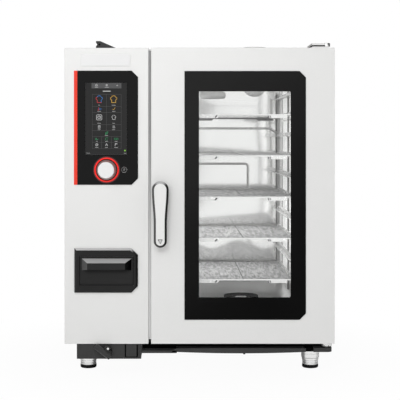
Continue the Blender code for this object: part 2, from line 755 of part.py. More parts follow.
def build_controls():
    dress(box("display_module", SCREEN_X, SCREEN_Y, SCREEN_Z), "screen")
    board_y = SCREEN_Y[1] + SEAT + BOARD_STANDOFF
    board_x = grown(SCREEN_X, BOARD_OVERHANG)
    board = box("control_board", board_x, (board_y, board_y + BOARD_THICKNESS), SCREEN_Z)
    post_y = (SCREEN_Y[1] + SEAT, board_y + BOARD_THICKNESS / 2)
    for x in grown(SCREEN_X, -4 * POST_RADIUS):
        for z in grown(SCREEN_Z, -4 * POST_RADIUS):
            fuse(board, rod("post", (x, 0.0, z), "y", post_y, POST_RADIUS, 8))
    dress(board, "board_green")

    centre = (KNOB_X, 0.0, KNOB_Z)
    ring_y = PANEL_Y[0] - SEAT
    inner = RING_RADIUS - RING_WIDTH
    profile = [
        (ring_y, inner),
        (ring_y, RING_RADIUS),
        (ring_y - RING_THICKNESS / 2, RING_RADIUS),
        (ring_y - RING_THICKNESS, RING_RADIUS - RING_WIDTH / 3),
        (ring_y - RING_THICKNESS, inner),
    ]
    dress(turned("knob_ring", profile, centre, "y", 32, closed=True), "red_plastic")

    fascia_back = FASCIA_FRONT + SHEET + SEAT
    bore = PLUNGER_RADIUS + TURN_GAP
    body_end = fascia_back + ENCODER_DEPTH
    bush_front = PANEL_Y[0] + SEAT
    profile = [
        (bush_front, bore),
        (bush_front, BUSH_RADIUS),
        (fascia_back, BUSH_RADIUS),
        (fascia_back, ENCODER_RADIUS),
        (body_end, ENCODER_RADIUS),
        (body_end, bore),
    ]
    dress(turned("encoder_body", profile, centre, "y", closed=True), "motor_grey")

    knob_front = FASCIA_FRONT - KNOB_PROUD
    plunger_front = knob_front + KNOB_PROUD / 2
    plunger_back = body_end - KNOB_TRAVEL - TURN_GAP
    push = pivot("knob_push_axis", (KNOB_X, KNOB_BACK, KNOB_Z))
    plunger = rod("encoder_plunger", centre, "y", (plunger_front, plunger_back), PLUNGER_RADIUS)
    hang(dress(plunger, "bright_steel"), push)

    socket = PLUNGER_RADIUS + SEAT
    rim = (KNOB_RADIUS + KNOB_BASE_RADIUS) / 2
    profile = [
        (plunger_front - SEAT, 0.5 * socket),
        (plunger_front - SEAT, socket),
        (KNOB_BACK, socket),
        (KNOB_BACK, KNOB_BASE_RADIUS),
        (KNOB_BACK - KNOB_PROUD / 5, KNOB_BASE_RADIUS),
        (KNOB_BACK - KNOB_PROUD / 4, rim),
        (knob_front + KNOB_PROUD / 10, KNOB_RADIUS),
        (knob_front + KNOB_EDGE_DEPTH, KNOB_RADIUS * KNOB_SHOULDER_SHARE),
        (knob_front, KNOB_RADIUS * KNOB_FACE_SHARE),
    ]
    knob = turned("control_knob", profile, centre, "y", 32)
    hang(dress(knob, "white_plastic"), push)


def wedge(name, back_x, back_z, front_x, front_z, span):
    # Four-sided block whose front face is smaller than its back
    rings = []
    for y, x, z in zip(span, (back_x, front_x), (back_z, front_z)):
        rings.append([place("y", a, b, y) for a, b in rectangle(x, z)])
    return loft(name, rings)


def build_drawer():
    slope = BEZEL_SLOPE
    inner_chamfer = BEZEL_CHAMFER - slope * (2 - math.sqrt(2))
    seat = FASCIA_FRONT - SEAT
    outline = chamfered(BEZEL_X, BEZEL_Z, BEZEL_CHAMFER)
    front_outline = chamfered(grown(BEZEL_X, -slope), grown(BEZEL_Z, -slope), inner_chamfer)
    rings = [[place("y", a, b, seat) for a, b in outline]]
    rings.append([place("y", a, b, BEZEL_FRONT + BEZEL_PROUD / 2) for a, b in outline])
    rings.append([place("y", a, b, BEZEL_FRONT) for a, b in front_outline])
    bezel = loft("drawer_bezel", rings)
    cut(bezel, box("recess", RECESS_X, (BEZEL_FRONT - SHEET, FASCIA_FRONT + SHEET), RECESS_Z))
    dress(bezel, "black_plastic")

    sleeve_y = (FASCIA_FRONT, FASCIA_FRONT + SLEEVE_LENGTH)
    sleeve = box("drawer_sleeve", grown(RECESS_X, SLEEVE_WALL), sleeve_y, grown(RECESS_Z, SLEEVE_WALL))
    cut(sleeve, box("sleeve_hollow", RECESS_X, grown(sleeve_y, SHEET), RECESS_Z))
    dress(sleeve, "grey_plastic")

    runner = pivot("drawer_runner", (sum(RECESS_X) / 2, BEZEL_FRONT, RECESS_Z[0]))
    front_x = grown(RECESS_X, -DRAWER_PLAY)
    front_z = (RECESS_Z[0] + SEAT, RECESS_Z[1] - DRAWER_PLAY)
    face = BEZEL_FRONT + DRAWER_SETBACK
    drawer = box("detergent_drawer", front_x, (face, face + DRAWER_FRONT_WALL), front_z)
    body_y = (face + DRAWER_FRONT_WALL / 2, face + DRAWER_LENGTH)
    body_z = (front_z[0], front_z[1] - DRAWER_HEADROOM)
    hollow_y = (face + DRAWER_FRONT_WALL, body_y[1] - DRAWER_WALL)
    hollow_z = (body_z[0] + DRAWER_WALL, body_z[1] + DRAWER_WALL)
    fuse(drawer, box("drawer_body", front_x, body_y, body_z))
    cut(drawer, box("drawer_hollow", grown(front_x, -DRAWER_WALL), hollow_y, hollow_z))

    grip_top = front_z[1] - GRIP_TOP_DROP
    back_z = (grip_top - GRIP_HEIGHT, grip_top)
    tip_z = (back_z[0], back_z[0] + GRIP_FACE_HEIGHT)
    back_x = grown(front_x, -GRIP_SIDE_INSET)
    tip_x = grown(back_x, -GRIP_END_SLOPE)
    tip_y = face - GRIP_PROUD
    grip = wedge("grip", back_x, back_z, tip_x, tip_z, (face + DRAWER_FRONT_WALL / 2, tip_y))
    hand_back_x = grown(back_x, -GRIP_WALL)
    hand_tip_x = grown(tip_x, -GRIP_WALL)
    hand_back_z = (back_z[0] - GRIP_WALL, back_z[1] - GRIP_WALL)
    hand_tip_z = (tip_z[0] - GRIP_WALL, tip_z[1] - GRIP_WALL)
    hand_span = (face, tip_y + GRIP_WALL)
    hand = wedge("hand_hollow", hand_back_x, hand_back_z, hand_tip_x, hand_tip_z, hand_span)
    cut(grip, hand)
    fuse(drawer, grip)
    hang(dress(drawer, "grey_plastic"), runner)


def build_door():
    hinge = pivot("door_hinge", (HINGE_X, HINGE_Y, BOTTOM))
    skin_y = (FRONT, DOOR_BACK - SHEET - SEAT)
    skin = soften(box("door_skin", DOOR_X, skin_y, DOOR_Z), EDGE_BEVEL)
    hollow_y = (FRONT + SHEET, DOOR_BACK)
    front_cut = (FRONT - SHEET, FRONT + 2 * SHEET)
    pane_hole = chamfered(grown(PANE_X, PANE_EDGE_GAP), grown(PANE_Z, PANE_EDGE_GAP), PANE_CHAMFER)
    pin_hole = HINGE_PIN_RADIUS + TURN_GAP
    pin_span = grown(DOOR_Z, SHEET)
    cut(
        skin,
        box("hollow", grown(DOOR_X, -SHEET), hollow_y, grown(DOOR_Z, -SHEET)),
        prism("pane_way", pane_hole, "y", front_cut),
        rod("spindle_way", (HANDLE_X, 0.0, HANDLE_Z), "y", front_cut, SPINDLE_HOLE),
        rod("pin_way", (HINGE_X, HINGE_Y, 0.0), "z", pin_span, pin_hole),
    )
    hang(dress(skin, "pale_steel"), hinge)

    pane_y = (FRONT - PANE_PROUD, PANE_BACK)
    pane = prism("door_outer_glass", chamfered(PANE_X, PANE_Z, PANE_CHAMFER), "y", pane_y)
    hang(dress(pane, "clear_glass"), hinge)

    flange_y = (PANE_BACK + SEAT, PANE_BACK + SEAT + FRAME_FLANGE)
    tunnel_y = (flange_y[0], INNER_PANE_Y[0] - SEAT)
    border = box("window_frame", grown(PANE_X, FRAME_LAP), flange_y, grown(PANE_Z, FRAME_LAP))
    fuse(border, box("tunnel", grown(WINDOW_X, TUNNEL_WALL), tunnel_y, grown(WINDOW_Z, TUNNEL_WALL)))
    cut(border, box("window", WINDOW_X, grown(tunnel_y, SHEET), WINDOW_Z))
    hang(dress(border, "black_border"), hinge)

    lapped = grown(WINDOW_X, INNER_PANE_LAP)
    inner = box("door_inner_glass", lapped, INNER_PANE_Y, grown(WINDOW_Z, INNER_PANE_LAP))
    hang(dress(inner, "clear_glass"), hinge)

    frame_y = (DOOR_BACK - SHEET, DOOR_BACK)
    through = grown(frame_y, SHEET)
    frame = box("door_inner_frame", DOOR_X, frame_y, DOOR_Z)
    cut(
        frame,
        box("window", WINDOW_X, through, WINDOW_Z),
        rod("spindle_way", (HANDLE_X, 0.0, HANDLE_Z), "y", through, SPINDLE_HOLE),
    )
    hang(dress(frame, "bright_steel"), hinge)
    return hinge


def handle_outline(inset):
    # Round head at the pivot, waist, then a narrower round tail
    low_centre = -HANDLE_LENGTH + HANDLE_LOW_RADIUS
    head = HANDLE_TOP_RADIUS - inset
    tail = HANDLE_LOW_RADIUS - inset
    flank = []
    steps = 8
    for step in range(1, steps):
        share = step / steps
        ease = share * share * (3 - 2 * share)
        flank.append((head + (tail - head) * ease, -HANDLE_WAIST * share))
    outline = arc((0.0, 0.0), head, 0.0, 180.0, 12)
    outline += [(-x, z) for x, z in flank]
    outline += arc((0.0, low_centre), tail, 180.0, 360.0, 10)
    outline += flank[::-1]
    return [(HANDLE_X + x, HANDLE_Z + z) for x, z in outline]


def hook_outline():
    # Hub with an arm and a jaw that reaches over the keeper stud
    inner = STUD_ORBIT + STUD_RADIUS + STUD_CLEARANCE
    outer = inner + JAW_WIDTH
    half = math.degrees(math.asin((STUD_RADIUS + STUD_CLEARANCE) / STUD_ORBIT))
    arm_start = 90.0 + half + 2.0
    arm_end = arm_start + 24.0
    jaw_tip = 90.0 - 2 * half
    centre = (HANDLE_X, HANDLE_Z)
    outline = arc(centre, outer, jaw_tip, arm_end, 8)
    outline += arc(centre, HOOK_HUB_RADIUS, arm_end + 20.0, arm_start + 340.0, 14)
    outline += arc(centre, inner, arm_start, jaw_tip, 6)
    return outline


def build_handle(hinge):
    turn = pivot("handle_spindle_axis", (HANDLE_X, FRONT, HANDLE_Z), hinge)
    face = FRONT - HANDLE_PROUD
    back = face + HANDLE_THICKNESS
    levels = (
        (back, HANDLE_ROUND),
        (back - HANDLE_ROUND, 0.0),
        (face + HANDLE_ROUND, 0.0),
        (face + HANDLE_ROUND / 4, HANDLE_ROUND / 2),
        (face, HANDLE_ROUND),
    )
    rings = []
    for y, inset in levels:
        rings.append([place("y", a, b, y) for a, b in handle_outline(inset)])
    lever = loft("door_handle", rings)
    centre = (HANDLE_X, 0.0, HANDLE_Z)
    fuse(lever, rod("hub", centre, "y", (back - HANDLE_ROUND, FRONT - TURN_GAP), HUB_RADIUS, 24))
    spindle_front = FRONT - SPINDLE_REACH
    bore = (spindle_front - SEAT, FRONT)
    cut(lever, rod("spindle_bore", centre, "y", bore, SPINDLE_RADIUS + SEAT))
    hang(dress(lever, "pale_steel"), turn)

    hook_y = (DOOR_BACK + HOOK_STANDOFF, DOOR_BACK + HOOK_STANDOFF + HOOK_THICKNESS)
    hook = prism("latch_hook", hook_outline(), "y", hook_y)
    spindle_y = (spindle_front, hook_y[1] - HOOK_THICKNESS / 2)
    fuse(hook, rod("spindle", centre, "y", spindle_y, SPINDLE_RADIUS))
    hang(dress(hook, "bright_steel"), turn)

    stud_y = (DOOR_BACK + HOOK_STANDOFF, FRAME_FRONT - SEAT)
    stud_centre = (HANDLE_X, 0.0, HANDLE_Z + STUD_ORBIT)
    dress(rod("keeper_stud", stud_centre, "y", stud_y, STUD_RADIUS), "bright_steel")


def build_hinges():
    arm_y = (HINGE_Y - KNUCKLE_RADIUS, HINGE_Y - KNUCKLE_RADIUS + HINGE_ARM_LENGTH)
    axis = (HINGE_X, HINGE_Y, 0.0)
    arm_right = HINGE_X - KNUCKLE_RADIUS / 2
    low = TOP + SEAT
    arm_x = (arm_right - HINGE_ARM_WIDTH, arm_right)
    upper = box("upper_hinge_bracket", arm_x, arm_y, (low, low + HINGE_ARM_HEIGHT))
    fuse(
        upper,
        rod("knuckle", axis, "z", (low, low + KNUCKLE_HEIGHT), KNUCKLE_RADIUS, 20),
        rod("pin", axis, "z", (low - HINGE_PIN_REACH, low + HINGE_ARM_HEIGHT / 2), HINGE_PIN_RADIUS, 20),
    )
    dress(upper, "dull_steel")

    high = BOTTOM - SEAT
    arm_x = (HINGE_X - HINGE_DISC_RADIUS / 2, HINGE_X + HINGE_DISC_RADIUS / 2)
    foot_clear = FRONT + FOOT_FRONT_SETBACK - SOCKET_RADIUS - 2 * SEAT
    lower = rod("lower_hinge_bracket", axis, "z", (high - HINGE_ARM_HEIGHT, high), HINGE_DISC_RADIUS, 24)
    fuse(
        lower,
        box("arm", arm_x, (HINGE_Y, foot_clear), (high - HINGE_ARM_HEIGHT, high)),
        rod("pin", axis, "z", (high - HINGE_ARM_HEIGHT / 2, high + HINGE_PIN_REACH), HINGE_PIN_RADIUS, 20),
    )
    dress(lower, "bright_steel")


def build_gasket():
    outer_x = grown(MOUTH_X, GASKET_MARGIN + GASKET_WIDTH)
    outer_z = grown(MOUTH_Z, GASKET_MARGIN + GASKET_WIDTH)
    y = (DOOR_BACK + SEAT, FRAME_FRONT - SEAT)
    crown = GASKET_WIDTH / 4
    middle = y[0] + (y[1] - y[0]) / 2
    rings = []
    sections = (
        (y[1], 0.0),
        (middle, 0.0),
        (y[0], crown),
        (y[0], GASKET_WIDTH - crown),
        (middle, GASKET_WIDTH),
        (y[1], GASKET_WIDTH),
    )
    for level, inset in sections:
        outline = rectangle(grown(outer_x, -inset), grown(outer_z, -inset))
        rings.append([place("y", a, b, level) for a, b in outline])
    dress(loft("cavity_gasket", rings, closed=True), "rubber")


def chamber_plan():
    # Floor plan of the liner's inside, coved at its two back corners
    left = PLENUM_LEFT
    right = CHAMBER_RIGHT
    back = CHAMBER_BACK - COVE_RADIUS
    plan = [(left, CHAMBER_FRONT), (right, CHAMBER_FRONT)]
    plan += arc((right - COVE_RADIUS, back), COVE_RADIUS, 0.0, 90.0, 4)
    plan += arc((left + COVE_RADIUS, back), COVE_RADIUS, 90.0, 180.0, 4)
    return plan


def heater_holes(radius, span):
    holes = []
    for orbit in HEATER_ENDS:
        holes.append(rod("heater_way", (0.0, FAN_Y, FAN_Z - orbit), "x", span, radius, 12))
    return holes


def build_liner():
    outer_x = (PLENUM_LEFT - LINER_WALL, CHAMBER_RIGHT + LINER_WALL)
    outer_y = (LINER_FRONT, CHAMBER_BACK + LINER_WALL)
    outer_z = (FLOOR - LINER_WALL, CEILING + LINER_WALL)
    left_wall = grown((PLENUM_LEFT - LINER_WALL, PLENUM_LEFT), LINER_WALL)
    floor_wall = grown((FLOOR - LINER_WALL, FLOOR), LINER_WALL)
    roof_wall = grown((CEILING, CEILING + LINER_WALL), LINER_WALL)
    liner = box("cavity_liner", outer_x, outer_y, outer_z)
    cut(
        liner,
        prism("inside", chamber_plan(), "z", (FLOOR, CEILING)),
        box("mouth", MOUTH_X, (LINER_FRONT - SHEET, CHAMBER_FRONT + SHEET), MOUTH_Z),
        rod("shaft_way", (0.0, FAN_Y, FAN_Z), "x", left_wall, SHAFT_RADIUS + 4 * TURN_GAP),
        rod("drain_way", (TRAY_CENTRE, DRAIN_Y, 0.0), "z", floor_wall, DRAIN_RADIUS + SEAT),
        rod("vent_way", (VENT_X, VENT_Y, 0.0), "z", roof_wall, VENT_RADIUS + TURN_GAP, 24),
        *heater_holes(HEATER_TUBE + TURN_GAP, left_wall),
    )
    dress(liner, "bright_steel")

    jacket_x = (JACKET_LEFT, outer_x[1] + INSULATION)
    jacket_y = (LINER_FRONT, outer_y[1] + INSULATION)
    jacket_z = (JACKET_BOTTOM, outer_z[1] + INSULATION)
    inner_y = (LINER_FRONT - INSULATION, outer_y[1] + SEAT)
    side_span = (JACKET_LEFT - SHEET, PLENUM_LEFT)
    low_span = (JACKET_BOTTOM - SHEET, FLOOR)
    high_span = (CEILING, jacket_z[1] + SHEET)
    jacket = box("insulation_jacket", jacket_x, jacket_y, jacket_z)
    cut(
        jacket,
        box("liner_space", grown(outer_x, SEAT), inner_y, grown(outer_z, SEAT)),
        rod("nose_way", (0.0, FAN_Y, FAN_Z), "x", side_span, MOTOR_NOSE_RADIUS + TURN_GAP),
        rod("drain_way", (TRAY_CENTRE, DRAIN_Y, 0.0), "z", low_span, DRAIN_RADIUS + DRAIN_BEND / 4),
        rod("vent_way", (VENT_X, VENT_Y, 0.0), "z", high_span, VENT_RADIUS + TURN_GAP, 24),
        *heater_holes(HEATER_TUBE + TURN_GAP, side_span),
    )
    dress(jacket, "mineral_wool")


def build_baffle():
    x = (CHAMBER_LEFT - SHEET, CHAMBER_LEFT)
    y = (CHAMBER_FRONT + SEAT, CHAMBER_BACK - SEAT)
    z = (FLOOR + SEAT, CEILING - SEAT)
    through = grown(x, SHEET)
    baffle = box("air_baffle", x, y, z)
    slots = []
    pitch = 2 * INTAKE_RADIUS / BAFFLE_SLOT_COUNT
    for index in range(BAFFLE_SLOT_COUNT):
        rise = (index - (BAFFLE_SLOT_COUNT - 1) / 2) * pitch
        half = math.sqrt(INTAKE_RADIUS ** 2 - rise ** 2)
        slot_z = (FAN_Z + rise - BAFFLE_SLOT / 2, FAN_Z + rise + BAFFLE_SLOT / 2)
        slots.append(box("intake", through, (FAN_Y - half, FAN_Y + half), slot_z))
    edge_y = grown(y, -2 * EDGE_SLOT - EDGE_SLOT_MARGIN)
    low_z = (z[0] + EDGE_SLOT_MARGIN, z[0] + EDGE_SLOT_MARGIN + EDGE_SLOT)
    high_z = (z[1] - EDGE_SLOT_MARGIN - EDGE_SLOT, z[1] - EDGE_SLOT_MARGIN)
    slots.append(box("low_outlet", through, edge_y, low_z))
    slots.append(box("high_outlet", through, edge_y, high_z))
    cut(baffle, *slots)
    dress(baffle, "bright_steel")


def build_fan():
    axis = (0.0, FAN_Y, FAN_Z)
    face = JACKET_LEFT - SEAT
    nose_end = PLENUM_LEFT - LINER_WALL - SEAT
    rear = face - MOTOR_LENGTH
    bore = SHAFT_RADIUS + TURN_GAP
    bore_end = nose_end - SHAFT_GRIP
    profile = [
        (rear, MOTOR_RADIUS * MOTOR_TAPER),
        (rear + MOTOR_FLANGE, MOTOR_RADIUS),
        (face - MOTOR_FLANGE, MOTOR_RADIUS),
        (face - MOTOR_FLANGE, MOTOR_FLANGE_RADIUS),
        (face, MOTOR_FLANGE_RADIUS),
        (face, MOTOR_NOSE_RADIUS),
        (nose_end, MOTOR_NOSE_RADIUS),
        (nose_end, bore),
        (bore_end, bore),
    ]
    dress(turned("fan_motor", profile, axis, "x"), "motor_grey")

    spin = pivot("fan_axis", (PLENUM_LEFT, FAN_Y, FAN_Z))
    disc = (PLENUM_LEFT + FAN_CLEARANCE, PLENUM_LEFT + FAN_CLEARANCE + SHEET)
    blade_x = (disc[0] + SHEET / 2, disc[1] + BLADE_DEPTH)
    wheel = rod("fan_wheel", axis, "x", disc, FAN_RADIUS, 32)
    rim = [
        (blade_x[1] - SHEET, FAN_RADIUS - BLADE_LENGTH / 2),
        (blade_x[1] - SHEET, FAN_RADIUS),
        (blade_x[1], FAN_RADIUS),
        (blade_x[1], FAN_RADIUS - BLADE_LENGTH / 2),
    ]
    pieces = [rod("hub", axis, "x", (disc[0] - SHEET, disc[1] + BLADE_DEPTH / 2), FAN_HUB_RADIUS)]
    shaft_x = (bore_end + TURN_GAP, disc[1])
    pieces.append(rod("shaft", axis, "x", shaft_x, SHAFT_RADIUS))
    pieces.append(turned("rim", rim, axis, "x", 32, closed=True))
    outer = FAN_RADIUS - SHEET
    for index in range(FAN_BLADES):
        angle = 2 * math.pi * index / FAN_BLADES
        along = Vector((math.cos(angle), math.sin(angle)))
        across = Vector((-along.y, along.x)) * (SHEET / 2)
        near = along * (outer - BLADE_LENGTH)
        far = along * outer
        centre = Vector((FAN_Y, FAN_Z))
        low_side = [centre + near - across, centre + far - across]
        high_side = [centre + far + across, centre + near + across]
        pieces.append(prism("blade", [tuple(corner) for corner in low_side + high_side], "x", blade_x))
    fuse(wheel, *pieces)
    hang(dress(wheel, "bright_steel"), spin)


def build_heater():
    # Tail through the wall, turns round the fan, then a second tail outside the turns
    outside = JACKET_LEFT - HEATER_TAIL
    points_per_turn = 16
    count = HEATER_TURNS * points_per_turn
    helix = []
    for step in range(count + 1):
        angle = 2 * math.pi * step / points_per_turn - math.pi / 2
        x = HEATER_X - HEATER_TURNS * HEATER_PITCH + HEATER_PITCH * step / points_per_turn
        helix.append((x, FAN_Y + HEATER_RADIUS * math.cos(angle), FAN_Z + HEATER_RADIUS * math.sin(angle)))
    low_in = FAN_Z - HEATER_ENDS[0]
    low_out = FAN_Z - HEATER_ENDS[1]
    bend = HEATER_RETURN / 3
    start = bent([(outside, FAN_Y, low_in), (helix[0][0], FAN_Y, low_in), helix[1]], bend)
    finish = bent([helix[-2], helix[-1], (HEATER_X, FAN_Y, low_out), (outside, FAN_Y, low_out)], bend / 2)
    dress(tube("heating_element", start[:-1] + helix[1:-1] + finish[1:], HEATER_TUBE, 6), "dull_steel")


def rack(name, tray_edge, wall, side):
    # Upright bars with ten angle rails; side is -1 on the left and +1 on the right
    rail_y = TRAY_Y
    leaf = tray_edge + side * RAIL_SIDE_PLAY
    pieces = []
    for level in range(LEVEL_COUNT):
        top = FLOOR + FIRST_LEVEL - TRAY_PLATE - SEAT + level * LEVEL_PITCH
        outline = [
            (tray_edge - side * RAIL_REACH, top - RAIL_LEAF),
            (leaf + side * RAIL_LEAF, top - RAIL_LEAF),
            (leaf + side * RAIL_LEAF, top + RAIL_HEIGHT),
            (leaf, top + RAIL_HEIGHT),
            (leaf, top),
            (tray_edge - side * RAIL_REACH, top),
        ]
        pieces.append(prism("rail", outline, "y", rail_y))
    upright_x = leaf + side * (RAIL_LEAF + UPRIGHT_RADIUS / 2)
    first = rail_y[0] + UPRIGHT_END_INSET
    last = rail_y[1] - UPRIGHT_END_INSET
    upright_z = (FLOOR + RACK_FLOOR_GAP, CEILING - RACK_CEILING_GAP)
    hanger_x = sorted((upright_x, wall - side * SEAT))
    for index in range(UPRIGHT_COUNT):
        y = first + (last - first) * index / (UPRIGHT_COUNT - 1)
        pieces.append(rod("upright", (upright_x, y, 0.0), "z", upright_z, UPRIGHT_RADIUS, 8))
    for y in (first, last):
        for z in grown(upright_z, -HANGER_RISE):
            pieces.append(rod("hanger", (0.0, y, z), "x", hanger_x, HANGER_RADIUS, 8))
    body = pieces.pop(-1)
    body.name = name
    fuse(body, *pieces)
    dress(body, "bright_steel")


def build_racks():
    rack("rack_left", TRAY_X[0], CHAMBER_LEFT, -1)
    rack("rack_right", TRAY_X[1], CHAMBER_RIGHT, 1)


def build_trays():
    for index in range(min(TRAY_COUNT, (LEVEL_COUNT + 1) // LEVELS_PER_TRAY)):
        top = FLOOR + FIRST_LEVEL + index * LEVELS_PER_TRAY * LEVEL_PITCH
        tray = box("tray_%d" % (index + 1), TRAY_X, TRAY_Y, (top - TRAY_PLATE, top))
        lip_x = grown(TRAY_X, -RAIL_REACH - RAIL_LEAF)
        lips = []
        for y in (TRAY_Y[0], TRAY_Y[1] - TRAY_PLATE):
            lips.append(box("lip", lip_x, (y, y + TRAY_PLATE), (top - TRAY_LIP, top - TRAY_PLATE / 2)))
        fuse(tray, *lips)
        half = TRAY_NOTCH / 2
        low = top - TRAY_LIP
        notch = [
            (TRAY_CENTRE - half - TRAY_NOTCH_RISE, low - TRAY_NOTCH_RISE),
            (TRAY_CENTRE + half + TRAY_NOTCH_RISE, low - TRAY_NOTCH_RISE),
            (TRAY_CENTRE + half - TRAY_NOTCH_RISE, low + TRAY_NOTCH_RISE),
            (TRAY_CENTRE - half + TRAY_NOTCH_RISE, low + TRAY_NOTCH_RISE),
        ]
        seam_x = (TRAY_CENTRE - TRAY_SEAM / 2, TRAY_CENTRE + TRAY_SEAM / 2)
        seam_z = (top - TRAY_SEAM_DEPTH, top + TRAY_SEAM_DEPTH)
        cut(
            tray,
            prism("notch", notch, "y", grown(TRAY_Y, TRAY_PLATE)),
            box("seam", seam_x, grown(TRAY_Y, TRAY_PLATE), seam_z),
        )
        dress(tray, "bright_steel")


def build_drain():
    spigot = DRAIN_RADIUS - DRAIN_WALL - TURN_GAP
    low = FLOOR - LINER_WALL - INSULATION / 3
    profile = [
        (low, spigot),
        (FLOOR + SEAT, spigot),
        (FLOOR + SEAT, STRAINER_RADIUS),
        (FLOOR + SEAT + STRAINER_RIM, STRAINER_RADIUS),
        (FLOOR + STRAINER_HEIGHT, STRAINER_RADIUS * STRAINER_TOP_SHARE),
        (FLOOR + STRAINER_HEIGHT, STRAINER_RADIUS * STRAINER_HOLE_SHARE),
    ]
    dress(turned("drain_strainer", profile, (TRAY_CENTRE, DRAIN_Y, 0.0), "z", 32), "black_plastic")

    start = (TRAY_CENTRE, DRAIN_Y, FLOOR - SEAT)
    elbow = (TRAY_CENTRE, DRAIN_Y, DRAIN_Z)
    outlet = (TRAY_CENTRE, REAR + STUB_PROUD, DRAIN_Z)
    path = bent([start, elbow, outlet], DRAIN_BEND)
    path[0] = start
    pipe = tube("drain_pipe", path, DRAIN_RADIUS, 16)
    over = Vector((0.0, 0.0, DRAIN_WALL))
    beyond = Vector((0.0, DRAIN_WALL, 0.0))
    bore = [Vector(path[0]) + over] + path[1:-1] + [Vector(path[-1]) + beyond]
    cut(pipe, tube("bore", bore, DRAIN_RADIUS - DRAIN_WALL, 16))
    dress(pipe, "grey_plastic")


def build_chamber_fittings():
    low = CEILING - VENT_DROP
    high = TOP + VENT_RISE
    inner = VENT_RADIUS - VENT_WALL
    flange = (TOP + SEAT, TOP + SEAT + VENT_WALL)
    lip = VENT_RADIUS + VENT_WALL
    profile = [
        (low, inner),
        (low, lip),
        (low + VENT_WALL, VENT_RADIUS),
        (flange[0], VENT_RADIUS),
        (flange[0], VENT_FLANGE_RADIUS),
        (flange[1], VENT_FLANGE_RADIUS),
        (flange[1], VENT_RADIUS),
        (high, VENT_RADIUS),
        (high, inner),
    ]
    dress(turned("steam_vent_pipe", profile, (VENT_X, VENT_Y, 0.0), "z", 24, closed=True), "bright_steel")

    top = CEILING - SEAT
    profile = [
        (top, NOZZLE_RADIUS),
        (top - NOZZLE_DROP / 4, NOZZLE_RADIUS),
        (top - NOZZLE_DROP / 3, NOZZLE_RADIUS * NOZZLE_NECK_SHARE),
        (top - NOZZLE_DROP * 2 / 3, NOZZLE_RADIUS * NOZZLE_NECK_SHARE),
        (top - NOZZLE_DROP, NOZZLE_RADIUS * NOZZLE_TIP_SHARE),
    ]
    centre = (TRAY_CENTRE + NOZZLE_FROM_CENTRE, VENT_Y, 0.0)
    dress(turned("wash_nozzle", profile, centre, "z", 24), "dull_steel")

    wall = CHAMBER_BACK - SEAT
    run_y = CHAMBER_BACK - PIPE_STANDOFF
    start_x = CHAMBER_LEFT + PIPE_START
    steam_z = CEILING - STEAM_PIPE_DROP
    steam_x = CHAMBER_RIGHT - STEAM_PIPE_END_GAP
    steam = [
        (start_x, wall, steam_z),
        (start_x, run_y, steam_z),
        (steam_x, run_y, steam_z),
        (steam_x, run_y, steam_z - STEAM_PIPE_TAIL),
    ]
    wall_pipe("steam_pipe", steam)
    rinse_z = CEILING - RINSE_PIPE_DROP
    rinse_x = CHAMBER_RIGHT - RINSE_PIPE_END_GAP
    rinse = [
        (start_x, wall, rinse_z),
        (start_x, run_y, rinse_z),
        (rinse_x, run_y, rinse_z),
        (rinse_x + RINSE_PIPE_REACH, run_y, rinse_z - RINSE_PIPE_TAIL),
    ]
    wall_pipe("rinse_pipe", rinse)


def wall_pipe(name, corners):
    # Thin pipe that leaves a flange on the back wall and bends along it
    pipe = tube(name, bent(corners, PIPE_BEND), PIPE_RADIUS)
    x, wall, z = corners[0]
    flange = rod("flange", (x, 0.0, z), "y", (wall - PIPE_RADIUS, wall), PIPE_FLANGE_RADIUS)
    fuse(pipe, flange)
    dress(pipe, "bright_steel")


def build_cowl():
    low = TOP + SEAT
    x = LEFT + COWL_INSET
    y = (FRONT + COWL_SETBACK, FRONT + COWL_SETBACK + COWL_LENGTH)
    high = low + COWL_HEIGHT
    notch_z = high - COWL_NOTCH
    outline = [
        (x, low),
        (x + COWL_WIDTH, low),
        (x + COWL_WIDTH, low + COWL_WALL),
        (x + COWL_RIDGE, high),
        (x, high),
        (x, high - COWL_NOTCH / 3),
        (x + COWL_NOTCH, notch_z),
        (x, notch_z - COWL_NOTCH),
    ]
    cowl = prism("vent_cowl", outline, "y", y)
    wall = COWL_NOTCH + COWL_WALL
    inside = [
        (x + COWL_WALL, low - COWL_WALL),
        (x + COWL_WIDTH - 4 * COWL_WALL, low - COWL_WALL),
        (x + wall + COWL_RIDGE, high - 3 * COWL_WALL - COWL_NOTCH),
        (x + wall, notch_z - COWL_WALL),
        (x + COWL_WALL, notch_z - COWL_NOTCH - COWL_WALL),
    ]
    cut(cowl, prism("cowl_hollow", inside, "y", grown(y, -COWL_WALL)))
    dress(cowl, "black_plastic")


